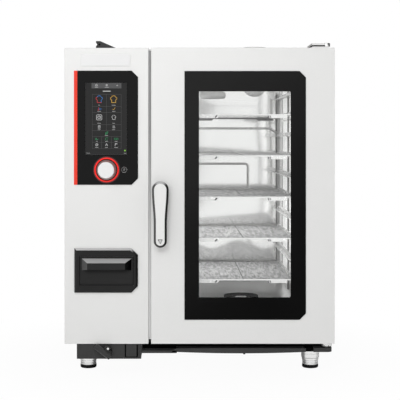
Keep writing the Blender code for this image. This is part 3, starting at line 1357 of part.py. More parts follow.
def build_rear_fittings():
    block_x = grown(STUB_XS, VALVE_SIZE / 2)
    block_y = (REAR_INNER - SEAT - VALVE_SIZE, REAR_INNER - SEAT)
    half = VALVE_SIZE / 2
    valve = box("water_valve", block_x, block_y, (VALVE_Z - half, VALVE_Z + half))
    stub_y = (block_y[1] - SHEET, REAR + STUB_PROUD)
    bore_y = (block_y[1] - half, REAR + STUB_PROUD + SHEET)
    fuse(valve, *[rod("stub", (x, 0.0, VALVE_Z), "y", stub_y, STUB_RADIUS) for x in STUB_XS])
    cut(valve, *[rod("bore", (x, 0.0, VALVE_Z), "y", bore_y, STUB_BORE) for x in STUB_XS])
    dress(valve, "brass")

    inner = REAR_INNER - GLAND_PROUD / 2
    collar = REAR + SEAT
    profile = [
        (inner, GLAND_BORE),
        (inner, GLAND_RADIUS),
        (collar, GLAND_RADIUS),
        (collar, GLAND_HEAD_RADIUS),
        (collar + GLAND_PROUD / 2, GLAND_HEAD_RADIUS),
        (collar + GLAND_PROUD, GLAND_TIP_RADIUS),
        (collar + GLAND_PROUD, GLAND_BORE),
    ]
    gland = turned("cable_gland", profile, (GLAND_X, 0.0, GLAND_Z), "y", 16, closed=True)
    dress(gland, "black_plastic")


def build_shower():
    front_y = (HOUSING_FRONT, HOUSING_FRONT + HOUSING_FRONT_DEPTH)
    reel_x = (HOUSING_X[0] + HOUSING_REEL_INSET, HOUSING_X[1])
    reel_y = (front_y[0], front_y[1] + HOUSING_REEL_DEPTH)
    housing = box("shower_housing", HOUSING_X, front_y, HOUSING_Z)
    fuse(housing, box("reel_space", reel_x, reel_y, HOUSING_Z))
    hollow_z = (HOUSING_Z[0] + HOUSING_WALL, HOUSING_Z[1] + HOUSING_WALL)
    wall_span = (front_y[0] - SHEET, front_y[0] + 2 * HOUSING_WALL)
    hole = rod("spigot_way", (SHOWER_X, 0.0, SHOWER_Z), "y", wall_span, SHOWER_SPIGOT + TURN_GAP)
    cut(
        housing,
        box("front_hollow", grown(HOUSING_X, -HOUSING_WALL), grown(front_y, -HOUSING_WALL), hollow_z),
        box("reel_hollow", grown(reel_x, -HOUSING_WALL), grown(reel_y, -HOUSING_WALL), hollow_z),
        hole,
    )
    flap_x = (HOUSING_X[1] - FLAP_INSET - FLAP_WIDTH, HOUSING_X[1] - FLAP_INSET)
    middle = sum(HOUSING_Z) / 2
    flap_z = (middle - FLAP_HEIGHT / 2, middle + FLAP_HEIGHT / 2)
    fuse(housing, box("flap", flap_x, (front_y[0] - FLAP_PROUD, front_y[0] + SHEET / 2), flap_z))
    dress(housing, "black_plastic")

    seat = pivot("shower_seat", (SHOWER_X, HOUSING_FRONT, SHOWER_Z))
    ball = []
    for angle in range(-80, 81, 20):
        rise = SHOWER_BALL_RADIUS * math.sin(math.radians(angle))
        ball.append((SHOWER_Y + rise, SHOWER_BALL_RADIUS * math.cos(math.radians(angle))))
    head = turned("shower_head", ball, (SHOWER_X, 0.0, SHOWER_Z), "y", 20)
    spigot_y = (SHOWER_Y, HOUSING_FRONT + SHOWER_SPIGOT_REACH)
    tilt = math.radians(SHOWER_TUBE_TILT)
    half = Vector((math.cos(tilt), 0.0, -math.sin(tilt))) * (SHOWER_TUBE_LENGTH / 2)
    middle_z = (HOUSING_Z[0] + HOUSING_Z[1]) / 2
    middle = Vector((SHOWER_X - SHOWER_TUBE_SHIFT, SHOWER_Y - SHOWER_TUBE_RADIUS, middle_z))
    fuse(
        head,
        rod("spigot", (SHOWER_X, 0.0, SHOWER_Z), "y", spigot_y, SHOWER_SPIGOT),
        tube("spray_tube", [middle - half, middle + half], SHOWER_TUBE_RADIUS, 16),
    )
    hang(dress(head, "grey_plastic"), seat)


def basin_outline(inset):
    # Plan of the wide middle of the drip tray, bowed towards the front
    x = (DOOR_X[0] + BASIN_LEFT + inset, RIGHT - BASIN_RIGHT - inset)
    front = FRONT + BASIN_SETBACK + inset
    back = FRONT + DRIP_BACK_SETBACK - inset
    plan = [(x[1], back), (x[0], back)]
    for step in range(BASIN_STEPS + 1):
        share = step / BASIN_STEPS
        bow = BASIN_BOW * (1 - (2 * share - 1) ** 2)
        plan.append((x[0] + (x[1] - x[0]) * share, front - bow))
    return plan


def gutter_outline(inset):
    # Plan of the narrow channel, with a round right end
    left = HOUSING_X[1] + DRIP_LEFT_GAP + inset
    front = FRONT + DRIP_FRONT_SETBACK + inset
    back = FRONT + DRIP_BACK_SETBACK - inset
    radius = (back - front) / 2
    end = RIGHT - DRIP_RIGHT_INSET - inset - radius
    return [(left, back), (left, front)] + arc((end, front + radius), radius, -90.0, 90.0, 8)


def build_drip_tray():
    gutter_z = (BOTTOM - DRIP_DROP - DRIP_HEIGHT, BOTTOM - DRIP_DROP)
    basin_z = (BOTTOM - BASIN_DROP - BASIN_HEIGHT, BOTTOM - BASIN_DROP)
    tray = prism("drip_tray", gutter_outline(0.0), "z", gutter_z)
    fuse(tray, prism("basin", basin_outline(0.0), "z", basin_z))
    above = basin_z[1] + DRIP_HEIGHT
    floor_z = gutter_z[0] + DRIP_WALL
    cut(
        tray,
        prism("gutter_hollow", gutter_outline(DRIP_WALL), "z", (floor_z, above)),
        prism("basin_hollow", basin_outline(DRIP_WALL), "z", (basin_z[0] + DRIP_WALL, above)),
    )
    back = FRONT + DRIP_BACK_SETBACK
    tab_top = BOTTOM - SEAT
    tab_x = (HOUSING_X[1] + DRIP_LEFT_GAP, HINGE_X - HINGE_DISC_RADIUS - TAB_END_GAP)
    fuse(
        tray,
        box("tab_wall", tab_x, (back - DRIP_WALL, back), (gutter_z[0] + DRIP_WALL / 2, tab_top)),
        box("tab", tab_x, (back - DRIP_WALL, back + TAB_REACH), (tab_top - DRIP_WALL, tab_top)),
    )
    dress(tray, "grey_plastic")


def main():
    clear_scene()
    build_base()
    build_feet()
    build_panels()
    build_fascia()
    build_controls()
    build_drawer()
    hinge = build_door()
    build_handle(hinge)
    build_hinges()
    build_gasket()
    build_liner()
    build_baffle()
    build_fan()
    build_heater()
    build_racks()
    build_trays()
    build_drain()
    build_chamber_fittings()
    build_cowl()
    build_rear_fittings()
    build_shower()
    build_drip_tray()
    bpy.context.view_layer.update()


main()
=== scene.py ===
import json
import math

import bmesh
import bpy
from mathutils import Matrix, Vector


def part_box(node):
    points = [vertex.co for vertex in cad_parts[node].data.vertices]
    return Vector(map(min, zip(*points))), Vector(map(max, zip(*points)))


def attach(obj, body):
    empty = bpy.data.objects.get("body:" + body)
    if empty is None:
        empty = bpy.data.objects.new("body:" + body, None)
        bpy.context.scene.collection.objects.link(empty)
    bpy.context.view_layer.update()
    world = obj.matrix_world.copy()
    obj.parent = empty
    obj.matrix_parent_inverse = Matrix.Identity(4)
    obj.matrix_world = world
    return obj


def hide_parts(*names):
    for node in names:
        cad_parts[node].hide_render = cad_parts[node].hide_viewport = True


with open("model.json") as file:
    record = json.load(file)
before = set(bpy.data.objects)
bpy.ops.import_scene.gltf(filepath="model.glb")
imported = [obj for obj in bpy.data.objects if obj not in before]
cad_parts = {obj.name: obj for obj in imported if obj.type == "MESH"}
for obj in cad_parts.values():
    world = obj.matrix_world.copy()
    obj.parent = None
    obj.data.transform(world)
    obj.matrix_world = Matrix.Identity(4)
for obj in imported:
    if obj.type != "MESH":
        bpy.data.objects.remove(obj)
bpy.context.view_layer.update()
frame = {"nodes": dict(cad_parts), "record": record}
nodes = frame["nodes"]
scene = bpy.context.scene
nodeSlot = {part["node"]: part["material_slot"] for part in frame["record"]["subparts"]}
print("frame loaded:", len(nodes), "nodes")


class Wire:  # a shader socket that takes part in plain arithmetic
    def __init__(self, bench, socket):
        self.bench = bench
        self.socket = socket

    def __add__(self, other):
        return self.bench.maths("ADD", self, other)

    def __sub__(self, other):
        return self.bench.maths("SUBTRACT", self, other)

    def __rsub__(self, other):
        return self.bench.maths("SUBTRACT", other, self)

    def __mul__(self, other):
        return self.bench.maths("MULTIPLY", self, other)

    def __gt__(self, other):
        return self.bench.maths("GREATER_THAN", self, other)


def paint(value):  # a number stands for a grey, a pair for a grey and its blue part, three for a colour
    if isinstance(value, Wire):
        return value
    parts = value if isinstance(value, tuple) else (value,) * 3
    return (*(parts if len(parts) == 3 else (parts[0], *parts)), 1)


class Bench:  # one node tree that is being wired
    def __init__(self, tree):
        self.tree = tree
        tree.nodes.clear()

    def add(self, kind, settings=None, sockets=None, output=0):
        node = self.tree.nodes.new("ShaderNode" + kind)
        for key, value in (settings or {}).items():
            setattr(node, key, value)
        for key, value in (sockets or {}).items():
            if isinstance(value, Wire):
                self.tree.links.new(value.socket, node.inputs[key])
            else:
                node.inputs[key].default_value = value
        return Wire(self, node.outputs[output]) if node.outputs else None

    def maths(self, operation, first, second):
        return self.add("Math", {"operation": operation}, {0: first, 1: second})

    def place(self, stretch=(1, 1, 1)):  # metres on the piece itself, so the pattern rides with it
        spot = self.add("TexCoord", output="Object")
        return self.add("VectorMath", {"operation": "MULTIPLY"}, {0: spot, 1: stretch})

    def noise(self, scale, detail, stretch=(1, 1, 1), rough=0.55):
        return self.add("TexNoise", None, {
            "Vector": self.place(stretch), "Scale": scale, "Detail": detail, "Roughness": rough})

    def cells(self, scale, stretch=(1, 1, 1), output="Distance"):
        return self.add("TexVoronoi", None, {"Vector": self.place(stretch), "Scale": scale}, output)

    def ramp(self, value, *levels):  # black up to the first level, white from the second
        tone = self.add("ValToRGB", None, {0: value})
        for stop, level in zip(tone.socket.node.color_ramp.elements, levels):
            stop.position = level
        return tone

    def tint(self, share, low, high):
        return self.add("Mix", {"data_type": "RGBA"}, {0: share, 6: paint(low), 7: paint(high)}, 2)

    def reach(self, value, low, high):  # eased share of the way from one level to the other
        return self.add("MapRange", {"interpolation_type": "SMOOTHSTEP"}, {
            "Value": value, "From Min": low, "From Max": high})

    def along(self, axis, vector=None):  # one part of a vector, if none is given of the place on the piece
        return self.add("SeparateXYZ", None, {0: vector or self.place()}, axis)

    def facing(self, axis):  # how far the surface looks along the world's axis
        return self.along(axis, self.add("NewGeometry", output="Normal"))

    def bump(self, height, strength, distance, under=None):
        sockets = {"Height": height, "Strength": strength, "Distance": distance}
        if under:
            sockets["Normal"] = under
        return self.add("Bump", None, sockets)

    def surface(self, sockets):
        return self.add("BsdfPrincipled", None, sockets)

    def seenRays(self):  # rays that see a face straight, mirrored or through glass, and the mirrored alone
        mirrored = self.add("LightPath", output="Is Glossy Ray")
        seen = self.add("LightPath", output="Is Camera Ray") + mirrored
        return seen + self.add("LightPath", output="Is Transmission Ray") > 0.5, mirrored


grainHeight = 0.0002  # metres that a full bump of the grain stands for
sheetMix = {"cloudRough": 0.06, "sideFrom": (0.15, 0.7), "floorFrom": (0.5, 0.9)}
skinMix = {"dust": 9.0, "dustShare": 0.7, "dustRough": 0.16, "leftFrom": (-0.25, -0.6),
           "upFrom": (0.42, 0.70), "footFrom": (0.95, 0.15)}


def sheetSteel(bench, look):  # rolled sheet: fine grain along one way, soft cloudy stains, a little bump
    grain = bench.noise(look["grain"], 2.0, look["stretch"])
    cloud = bench.noise(look["cloud"], 2.0)
    share = (grain - 0.5) * look["grainDepth"] + (cloud - 0.5) * look["cloudDepth"] + 0.5
    colour = bench.tint(share, look["dark"], look["light"])
    rough = (grain - 0.5) * look["roughDepth"] + (cloud - 0.5) * sheetMix["cloudRough"] + look["rough"]
    metallic = look["metallic"]
    under = None
    if "leans" in look:
        # the sheet leans and ripples a little between the trays, which bends what it mirrors
        across = bench.along("X")
        ripple = bench.maths("COSINE", across * look["ripple"][0] - look["ripple"][1], 0.0)
        height = 0.0
        for low, high, level, slope, depth in look["leans"]:
            inBay = (bench.along("Z") > low) - (bench.along("Z") > high)
            height = inBay * (bench.along("Z") - low) * (across * slope + ripple * depth + level) + height
        above = bench.maths("MAXIMUM", bench.along("Z") - look["bow"][0], 0.0)
        under = bench.bump(above * above * look["bow"][1] + height, 1.0, 1.0)
        # faces that look left or right mirror less, those that look up are scoured
        aside = bench.facing("X")
        aside = bench.reach(aside * aside, *sheetMix["sideFrom"])
        metallic = aside * (look["sideMetallic"] - metallic) + metallic
        scoured = bench.reach(bench.facing("Z"), *sheetMix["floorFrom"])
        colour = bench.tint(scoured, colour, look["floor"])
        rough = scoured * look["floorRough"] + rough
    return bench.surface({
        "Base Color": colour,
        "Metallic": metallic,
        "Roughness": rough,
        "Specular IOR Level": look.get("gloss", 0.5),
        "Normal": bench.bump(grain, look["bump"], grainHeight, under),
    })


def moulded(bench, look):  # plastic or rubber with a fine eroded skin and faint dust; some take painted light and shade by the way each face looks
    skin = bench.cells(look["skin"])
    dust = bench.noise(skinMix["dust"], 4.0)
    share = dust * skinMix["dustShare"] + skin * (1 - skinMix["dustShare"])
    colour = bench.tint(share, look["dark"], look["light"])
    if "bloom" in look:  # painted light on faces that look up and a little on faces that look left, painted black shade on faces that look right
        colour = bench.tint(bench.reach(bench.facing("X"), *skinMix["leftFrom"]), colour, look["rubbed"])
        colour = bench.tint(bench.reach(bench.facing("X"), *look["deepFrom"]), colour, look["deep"])
        upward = bench.reach(bench.facing("Z"), *skinMix["upFrom"])
        if "bloomFrom" in look:  # the painted top light stays off the lower lip of a frame
            upward = upward * bench.reach(bench.along("Z"), *look["bloomFrom"])
        colour = bench.tint(upward, colour, look["bloom"])
    if "foot" in look:  # paler towards the floor: painted shade in the gap, darkest at the top
        colour = bench.tint(bench.reach(bench.along("Z"), *skinMix["footFrom"]), colour, look["foot"])
    return bench.surface({
        "Base Color": colour,
        "Metallic": look.get("metallic", 0.0),
        "Roughness": (dust - 0.5) * skinMix["dustRough"] + look["rough"],
        "Specular IOR Level": look["gloss"],
        "Normal": bench.bump(skin, look["bump"], grainHeight),
    })


def lampFinish(bench, look):  # light that comes through a plastic guide or a screen, a touch uneven
    colour, strength = look
    low = tuple(part * 0.82 for part in paint(colour)[:3])
    lit = bench.tint(bench.noise(700.0, 2.0), low, colour)
    return bench.surface({
        "Base Color": lit, "Roughness": 0.35, "Emission Color": lit, "Emission Strength": strength})


def paneGlass(bench, look):  # clear pane: sees through straight on, mirrors at a slant, faint wiping marks
    wipe = bench.noise(look["wipe"], 3.0, (1, 1, 0.25))
    slant = bench.add("Fresnel", None, {"IOR": look["ior"]})
    clear = bench.add("BsdfTransparent", None, {"Color": paint(look["tint"])})
    shine = bench.surface({
        "Base Color": paint(0.9), "Metallic": 1.0, "Roughness": (wipe - 0.5) * 0.05 + look["rough"]})
    return bench.add("MixShader", None, {
        0: slant * look["mirror"] + wipe * look["film"], 1: clear, 2: shine})


def blackGlass(bench, look):  # glass with a black print behind it: sharp gloss, faint finger haze, and painted light that makes it paler towards the top and, where it leans, towards the left
    haze = bench.noise(look["haze"], 4.0)
    # painted light: paler higher up, and further left where the look leans
    rise = bench.along("Z") - bench.along("X") * look["lean"]
    share = haze * 0.2 + bench.reach(rise, *look["rise"]) * 0.8
    return bench.surface({
        "Base Color": bench.tint(share, look["dark"], look["light"]),
        "Roughness": (haze - 0.4) * 0.10 + look["rough"],
        "Specular IOR Level": look["gloss"],
    })


def speckledSteel(bench, look):  # tray sheet with a granite fleck: dark and bright grains over a mid grey
    fleck = bench.cells(look["fleck"], look["stretch"], "Color")
    fine = bench.noise(look["fine"], 3.0, look["stretch"], 0.7)
    cloud = bench.noise(look["cloud"], 2.0)
    mixed = bench.tint(look["fleckShare"], bench.ramp(fine, 0.36, 0.62), fleck)
    value = bench.add("RGBToBW", None, {0: mixed})
    return bench.surface({
        "Base Color": bench.tint(value * 0.75 + cloud * 0.25, look["dark"], look["light"]),
        "Metallic": look["metallic"],
        "Roughness": (value - 0.5) * 0.14 + look["rough"],
        "Specular IOR Level": look["gloss"],
        "Normal": bench.bump(fine, look["bump"], 0.0004),
    })


def woolFelt(bench, look):
    fibre = bench.noise(look["fibre"], 6.0, (1, 1, 4), 0.7)
    return bench.surface({
        "Base Color": bench.tint(fibre, look["dark"], look["light"]),
        "Roughness": 0.95, "Normal": bench.bump(fibre, 0.7, 0.002)})


steelKeys = ("dark", "light", "metallic", "rough", "grain", "stretch", "grainDepth", "roughDepth", "cloud",
             "cloudDepth", "bump")
drawnGrain = (300.0, (1, 0.06, 1), 0.5, 0.10, 12.0, 0.4, 0.03)
uprightGrain = (240.0, (1, 1, 0.06), 0.7, 0.16, 9.0, 0.5, 0.08)
crossGrain = (240.0, (0.06, 1, 1), 0.7, 0.16, 9.0, 0.5, 0.08)
steelRows = {
    "paleSteel": ((0.775, 0.765), (0.885, 0.875), 0.22, 0.40, 420.0, (1, 1, 1), 0.55, 0.10, 5.0, 0.25, 0.05),
    "brightSteel": ((0.62, 0.615), (0.80, 0.79), 0.85, 0.24, 260.0, (1, 1, 0.05), 0.6, 0.16, 11.0, 0.4, 0.06),
    "chamberSteel": ((0.89, 0.885), (0.95, 0.945), 0.98, 0.08, 300.0, (1, 1, 0.06), 0.3, 0.04, 4.0, 0.35,
                     0.02),
    "railSteel": ((0.74, 0.735), (0.90, 0.895), 0.35, 0.26, *drawnGrain),
    "rackSteel": ((0.58, 0.575), (0.74, 0.735), 0.35, 0.26, *drawnGrain),
    # darkened steel, painted shade on the inside of the trays' rear lips
    "shadedSteel": (0.10, 0.16, 0.3, 0.45, *drawnGrain),
    # darkened steel, painted shade on the racks' rear posts, middle rods and clips
    "postSteel": (0.27, (0.40, 0.395), 0.8, 0.42, *uprightGrain),
    "fittingSteel": ((0.42, 0.415), (0.58, 0.575), 0.7, 0.42, *crossGrain),
    "footSteel": ((0.80, 0.795), (0.90, 0.895), 0.9, 0.18, 260.0, (1, 1, 0.05), 0.5, 0.12, 11.0, 0.3, 0.04),
    "knobSilver": ((0.40, 0.395), (0.58, 0.57), 0.55, 0.34, 900.0, (1, 0.04, 1), 0.6, 0.12, 30.0, 0.3, 0.04),
    "dullSteel": (0.36, (0.52, 0.515), 0.8, 0.42, *crossGrain),
    "rearSteel": ((0.56, 0.565, 0.57), (0.70, 0.705, 0.71), 0.6, 0.42, 300.0, (1, 1, 0.05), 0.6, 0.14, 6.0,
                  0.6, 0.08),
    "brassCast": ((0.42, 0.28, 0.10), (0.66, 0.47, 0.19), 1.0, 0.32, 500.0, (1, 1, 1), 0.7, 0.2, 40.0, 0.6,
                  0.12),
}
steelLook = {name: dict(zip(steelKeys, row)) for name, row in steelRows.items()}
steelLook["chamberSteel"].update({
    "sideMetallic": 0.05, "floor": (0.90, 0.895), "floorRough": 0.22, "gloss": 0.0, "ripple": (31.4, 5.2),
    "bow": (0.915, 0.88),
    "leans": (  # low, high, lean, slope, ripple
        (0.226, 0.310, 0.001, 0.0, 0.004), (0.310, 0.450, 0.009, 0.0, 0.015),
        (0.450, 0.590, -0.0144, 0.081, 0.0), (0.590, 0.730, -0.005, 0.0, 0.0),
        (0.730, 0.870, 0.0191, -0.069, 0.0))})

mouldedKeys = ("dark", "light", "rough", "gloss", "skin", "bump")
mouldedRows = {
    "blackPlastic": (0.006, 0.014, 0.38, 0.22, 900.0, 0.10),
    "bezelBlack": (0.012, 0.022, 0.38, 0.14, 900.0, 0.10),
    "greyPlastic": (0.029, 0.048, 0.40, 0.25, 900.0, 0.10),
    "drawerGrey": (0.022, 0.036, 0.36, 0.06, 900.0, 0.10),
    "showerBlack": (0.003, 0.007, 0.16, 0.30, 900.0, 0.02),
    "showerGrey": (0.020, 0.038, 0.32, 0.30, 900.0, 0.06),
    # black for painted shade in gaps, holes, slots and grooves, and for black parts
    "shadowBlack": (0.001, 0.003, 0.85, 0.05, 700.0, 0.06),
    "cowlGrey": (0.030, 0.055, 0.42, 0.25, 800.0, 0.10),
    "handleCore": (0.030, 0.050, 0.40, 0.2, 700.0, 0.05),
    "trimGrey": (0.29, 0.38, 0.55, 0.5, 600.0, 0.08),
    "whitePlastic": (0.84, 0.90, 0.30, 0.5, 800.0, 0.03),
    "redPlastic": ((0.80, 0.034, 0.018), (0.98, 0.064, 0.032), 0.34, 0.3, 800.0, 0.04),
    "boardGreen": ((0.010, 0.10, 0.035), (0.025, 0.19, 0.07), 0.5, 0.5, 500.0, 0.15),
    "rubber": (0.004, 0.012, 0.72, 0.2, 700.0, 0.12),
    "motorGrey": ((0.10, 0.105, 0.11), (0.19, 0.20, 0.21), 0.5, 0.5, 500.0, 0.15),
    "screenBlack": (0.010, 0.015, 0.22, 0.2, 2400.0, 0.01),
}
mouldedLook = {name: dict(zip(mouldedKeys, row)) for name, row in mouldedRows.items()}
# painted light on faces that look up and left and painted shade on faces that look right, on the bezel, the
# drawer front and the handle's core
mouldedLook["bezelBlack"].update({
    "bloom": 0.60, "bloomFrom": (0.36, 0.38), "rubbed": 0.030, "deep": 0.002, "deepFrom": (0.52, 0.63)})
mouldedLook["drawerGrey"].update({"bloom": 0.47, "rubbed": 0.110, "deep": 0.001, "deepFrom": (0.25, 0.6)})
mouldedLook["handleCore"].update({"bloom": 0.50, "rubbed": 0.085, "deep": 0.006, "deepFrom": (0.25, 0.6)})
# painted shade on the trim in its gap, paler towards the floor
mouldedLook["trimGrey"]["foot"] = 0.72
mouldedLook["motorGrey"]["metallic"] = 0.3

glassLook = {"clearPane": {
    "wipe": 7.0, "ior": 1.42, "tint": (0.997, 0.998, 0.997), "rough": 0.03, "mirror": 0.45, "film": 0.006}}
blackGlassLook = {
    "blackBorder": {"haze": 5.0, "dark": 0.0002, "light": 0.0205, "rise": (0.02, 0.98), "lean": 0.9,
                    "rough": 0.10, "gloss": 0.045},
    "blackGlass": {"haze": 8.0, "dark": 0.001, "light": 0.003, "rise": (0.5, 1.05), "lean": 0.0,
                   "rough": 0.12, "gloss": 0.12},
}
trayLook = {"trayGranite": {
    "fleck": 190.0, "fine": 110.0, "stretch": (1, 0.13, 1), "cloud": 9.0, "fleckShare": 0.4, "dark": 0.07,
    "light": 0.475, "metallic": 0.04, "rough": 0.45, "gloss": 0.0, "bump": 0.25}}
woolLook = {"mineralWool": {"fibre": 60.0, "dark": (0.42, 0.36, 0.22), "light": (0.70, 0.64, 0.46)}}
lampLook = {  # colour and glow
    "ringGlow": ((0.92, 0.010, 0.005), 0.26), "haloRed": ((0.050, 0.003, 0.003), 0.30),
    "iconWhite": (0.62, 0.25), "iconRed": ((0.60, 0.025, 0.035), 0.25),
    "iconBlue": ((0.02, 0.17, 0.50), 0.30), "iconAmber": ((0.72, 0.42, 0.05), 0.20),
    "iconGreen": ((0.02, 0.30, 0.11), 0.25),
    "statusGreen": ((0.20, 0.52, 0.04), 0.35), "gridGrey": (0.060, 0.0), "headerGrey": ((0.064, 0.066), 0.0),
    "inkGrey": (0.035, 0.0), "printGrey": (0.72, 0.05),
}
finish = {}


def newFinish(name, shader, look):
    finish[name] = bpy.data.materials.new(name)
    finish[name].use_nodes = True
    bench = Bench(finish[name].node_tree)
    bench.add("OutputMaterial", None, {"Surface": shader(bench, look)})


for shader, looks in ((sheetSteel, steelLook), (moulded, mouldedLook), (paneGlass, glassLook),
                      (blackGlass, blackGlassLook), (speckledSteel, trayLook), (woolFelt, woolLook),
                      (lampFinish, lampLook)):
    for name, look in looks.items():
        newFinish(name, shader, look)

slotFinish = {  # the other slots have finishes of their own name
    "clear_glass": "clearPane", "screen": "screenBlack", "brass": "brassCast"}
for nodeName, cadPart in nodes.items():  # every CAD node gets its finish, also those that stay hidden
    first, *others = nodeSlot[nodeName].split("_")
    look = slotFinish.get(nodeSlot[nodeName], first + "".join(word.capitalize() for word in others))
    for holder in cadPart.material_slots:
        holder.material = finish[look]
print("finishes made:", len(finish))


def spanOf(node):  # ((x low, x high), (y low, y high), (z low, z high)) of a CAD node at rest
    return tuple(zip(*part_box(node)))


def middleOf(span):
    return sum(span) / 2


def at(axis, first, second, along):
    parts = [first, second]
    parts.insert("xyz".index(axis), along)
    return Vector(parts)


def grown(span, amount):
    return (span[0] - amount, span[1] + amount)


def arc(centre, radius, start, end, steps):
    points = []
    for step in range(steps + 1):
        angle = math.radians(start + (end - start) * step / steps)
        points.append((centre[0] + radius * math.cos(angle), centre[1] + radius * math.sin(angle)))
    return points


def loop(centre, radius, sides):
    return arc(centre, radius, 0, 360, sides)[:-1]


def rounded(first, second, radii, steps=3):  # corner radii: low left, low right, top right, top left
    radii = radii if isinstance(radii, tuple) else (radii,) * 4
    corners = ((first[0], second[0], 1, 1, 180), (first[1], second[0], -1, 1, 270),
               (first[1], second[1], -1, -1, 0), (first[0], second[1], 1, -1, 90))
    points = []
    for (a, b, right, up, start), radius in zip(corners, radii):
        if radius > 0:
            points += arc((a + right * radius, b + up * radius), radius, start, start + 90, steps)
        else:
            points.append((a, b))
    return points


def cutCorners(x, z, chamfer):  # square on the left, cut on the right
    return [(x[0], z[0]), (x[1] - chamfer, z[0]), (x[1], z[0] + chamfer), (x[1], z[1] - chamfer),
            (x[1] - chamfer, z[1]), (x[0], z[1])]


def profile(base, radius, *steps):  # points of a turned shape: steps along its axis and outwards
    return [(base + along, radius + out) for along, out in steps]


# each shape is a function that adds itself to a mesh
def rings(rows, mat=0, closed=False):  # skin over rows of points, with end faces unless it is closed
    def build(bm):
        loops = [[bm.verts.new(point) for point in row] for row in rows]
        pairs = list(zip(loops, loops[1:]))
        faces = []
        if closed:
            pairs.append((loops[-1], loops[0]))
        else:
            faces += [bm.faces.new(loops[0]), bm.faces.new(loops[-1])]
        for near, far in pairs:
            for index in range(len(near)):
                faces.append(bm.faces.new((near[index - 1], near[index], far[index], far[index - 1])))
        for face in faces:
            face.material_index = mat
    return build


def prism(outline, axis, span, mat=0):
    return rings([[at(axis, a, b, level) for a, b in outline] for level in span], mat)


def block(x, y, z, mat=0):
    return prism([(x[0], y[0]), (x[1], y[0]), (x[1], y[1]), (x[0], y[1])], "z", z, mat)


def turned(steps, centre, axis="z", sides=48, mat=0, closed=False):  # steps of (along, radius)
    shift = at(axis, *centre, 0)
    rows = [[at(axis, a, b, along) + shift for a, b in loop((0, 0), radius, sides)]
            for along, radius in steps]
    return rings(rows, mat, closed)


def tube(path, radius, sides):
    points = [Vector(point) for point in path]
    widths = radius if isinstance(radius, tuple) else (radius,) * len(points)
    rows = []
    side = None
    for index, (point, width) in enumerate(zip(points, widths)):
        along = (points[min(index + 1, len(points) - 1)] - points[max(index - 1, 0)]).normalized()
        side = along.orthogonal() if side is None else side
        side = (side - along * side.dot(along)).normalized()
        other = along.cross(side)
        rows.append([point + side * a + other * b for a, b in loop((0, 0), width, sides)])
    return rings(rows)


def plate(loops, axis, span):  # flat plate with holes: the first loop is its outside
    def build(bm):
        edges = []
        for points in loops:
            verts = [bm.verts.new(at(axis, a, b, span[0])) for a, b in points]
            edges += [bm.edges.new((verts[index - 1], verts[index])) for index in range(len(verts))]
        filled = bmesh.ops.triangle_fill(bm, edges=edges, use_beauty=True)["geom"]
        front = [part for part in filled if isinstance(part, bmesh.types.BMFace)]
        raised = bmesh.ops.extrude_face_region(bm, geom=front)["geom"]
        verts = [part for part in raised if isinstance(part, bmesh.types.BMVert)]
        bmesh.ops.translate(bm, verts=verts, vec=at(axis, 0, 0, span[1] - span[0]))
    return build


def stroke(points, width, axis, span, mat=0, closed=False):  # thick line of short flat bars
    bars = []
    for start, end in zip(points, points[1:] + (points[:1] if closed else [])):
        along = Vector(end) - Vector(start)
        if along.length > 1e-7:
            along = along.normalized() * (width / 2)
            across = Vector((-along.y, along.x))
            first = Vector(start) - along * 0.6
            last = Vector(end) + along * 0.6
            outline = [first - across, last - across, last + across, first + across]
            bars.append(prism(outline, axis, span, mat))
    return lambda bm: [bar(bm) for bar in bars]


def makePiece(name, body, looks, shapes, node=None, bevel=0.0, sharp=38.0):
    bm = bmesh.new()
    for build in shapes:
        build(bm)
    bmesh.ops.recalc_face_normals(bm, faces=bm.faces)
    mesh = bpy.data.meshes.new(name)
    bm.to_mesh(mesh)
    bm.free()
    piece = bpy.data.objects.new(name, mesh)
    scene.collection.objects.link(piece)
    for look in looks.split():
        mesh.materials.append(finish[look])
    mesh.shade_smooth()
    mesh.set_sharp_from_angle(angle=math.radians(sharp))
    if bevel:
        edge = piece.modifiers.new("softEdges", "BEVEL")
        edge.width = bevel
        edge.segments = 2
        edge.limit_method = "ANGLE"
        edge.angle_limit = math.radians(sharp)
        edge.harden_normals = True
    even = piece.modifiers.new("evenNormals", "WEIGHTED_NORMAL")
    even.keep_sharp = True
    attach(piece, body)
    if node:
        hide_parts(node)


def fineCopy(node, body, looks, bevel, shift=None, pickLook=None):  # the CAD shape with soft edges
    def build(bm):
        bm.from_mesh(nodes[node].data)
        for vert in bm.verts:  # some points sit a little higher or lower than in the plain shape
            vert.co.z += shift(vert.co) if shift else 0.0
        bmesh.ops.remove_doubles(bm, verts=bm.verts, dist=1e-6)
        bmesh.ops.dissolve_limit(bm, angle_limit=math.radians(0.6), verts=bm.verts, edges=bm.edges)
        bm.normal_update()
        for face in bm.faces:
            face.material_index = pickLook(face) if pickLook else face.material_index
    makePiece(node + "_fine", body, looks, [build], node, bevel=bevel)


cameraLook = {"place": (-0.083, -3.991, 0.788), "lens": 99.15, "shift": (0.0652, -0.1545)}
cameraData = bpy.data.cameras.new("camera")
cameraData.lens = cameraLook["lens"]
cameraData.sensor_width = 36.0
cameraData.shift_x, cameraData.shift_y = cameraLook["shift"]
cameraData.clip_end = 100.0
camera = bpy.data.objects.new("camera", cameraData)
camera.location = cameraLook["place"]
camera.rotation_euler = (math.radians(90), 0, 0)
scene.collection.objects.link(camera)
scene.camera = camera

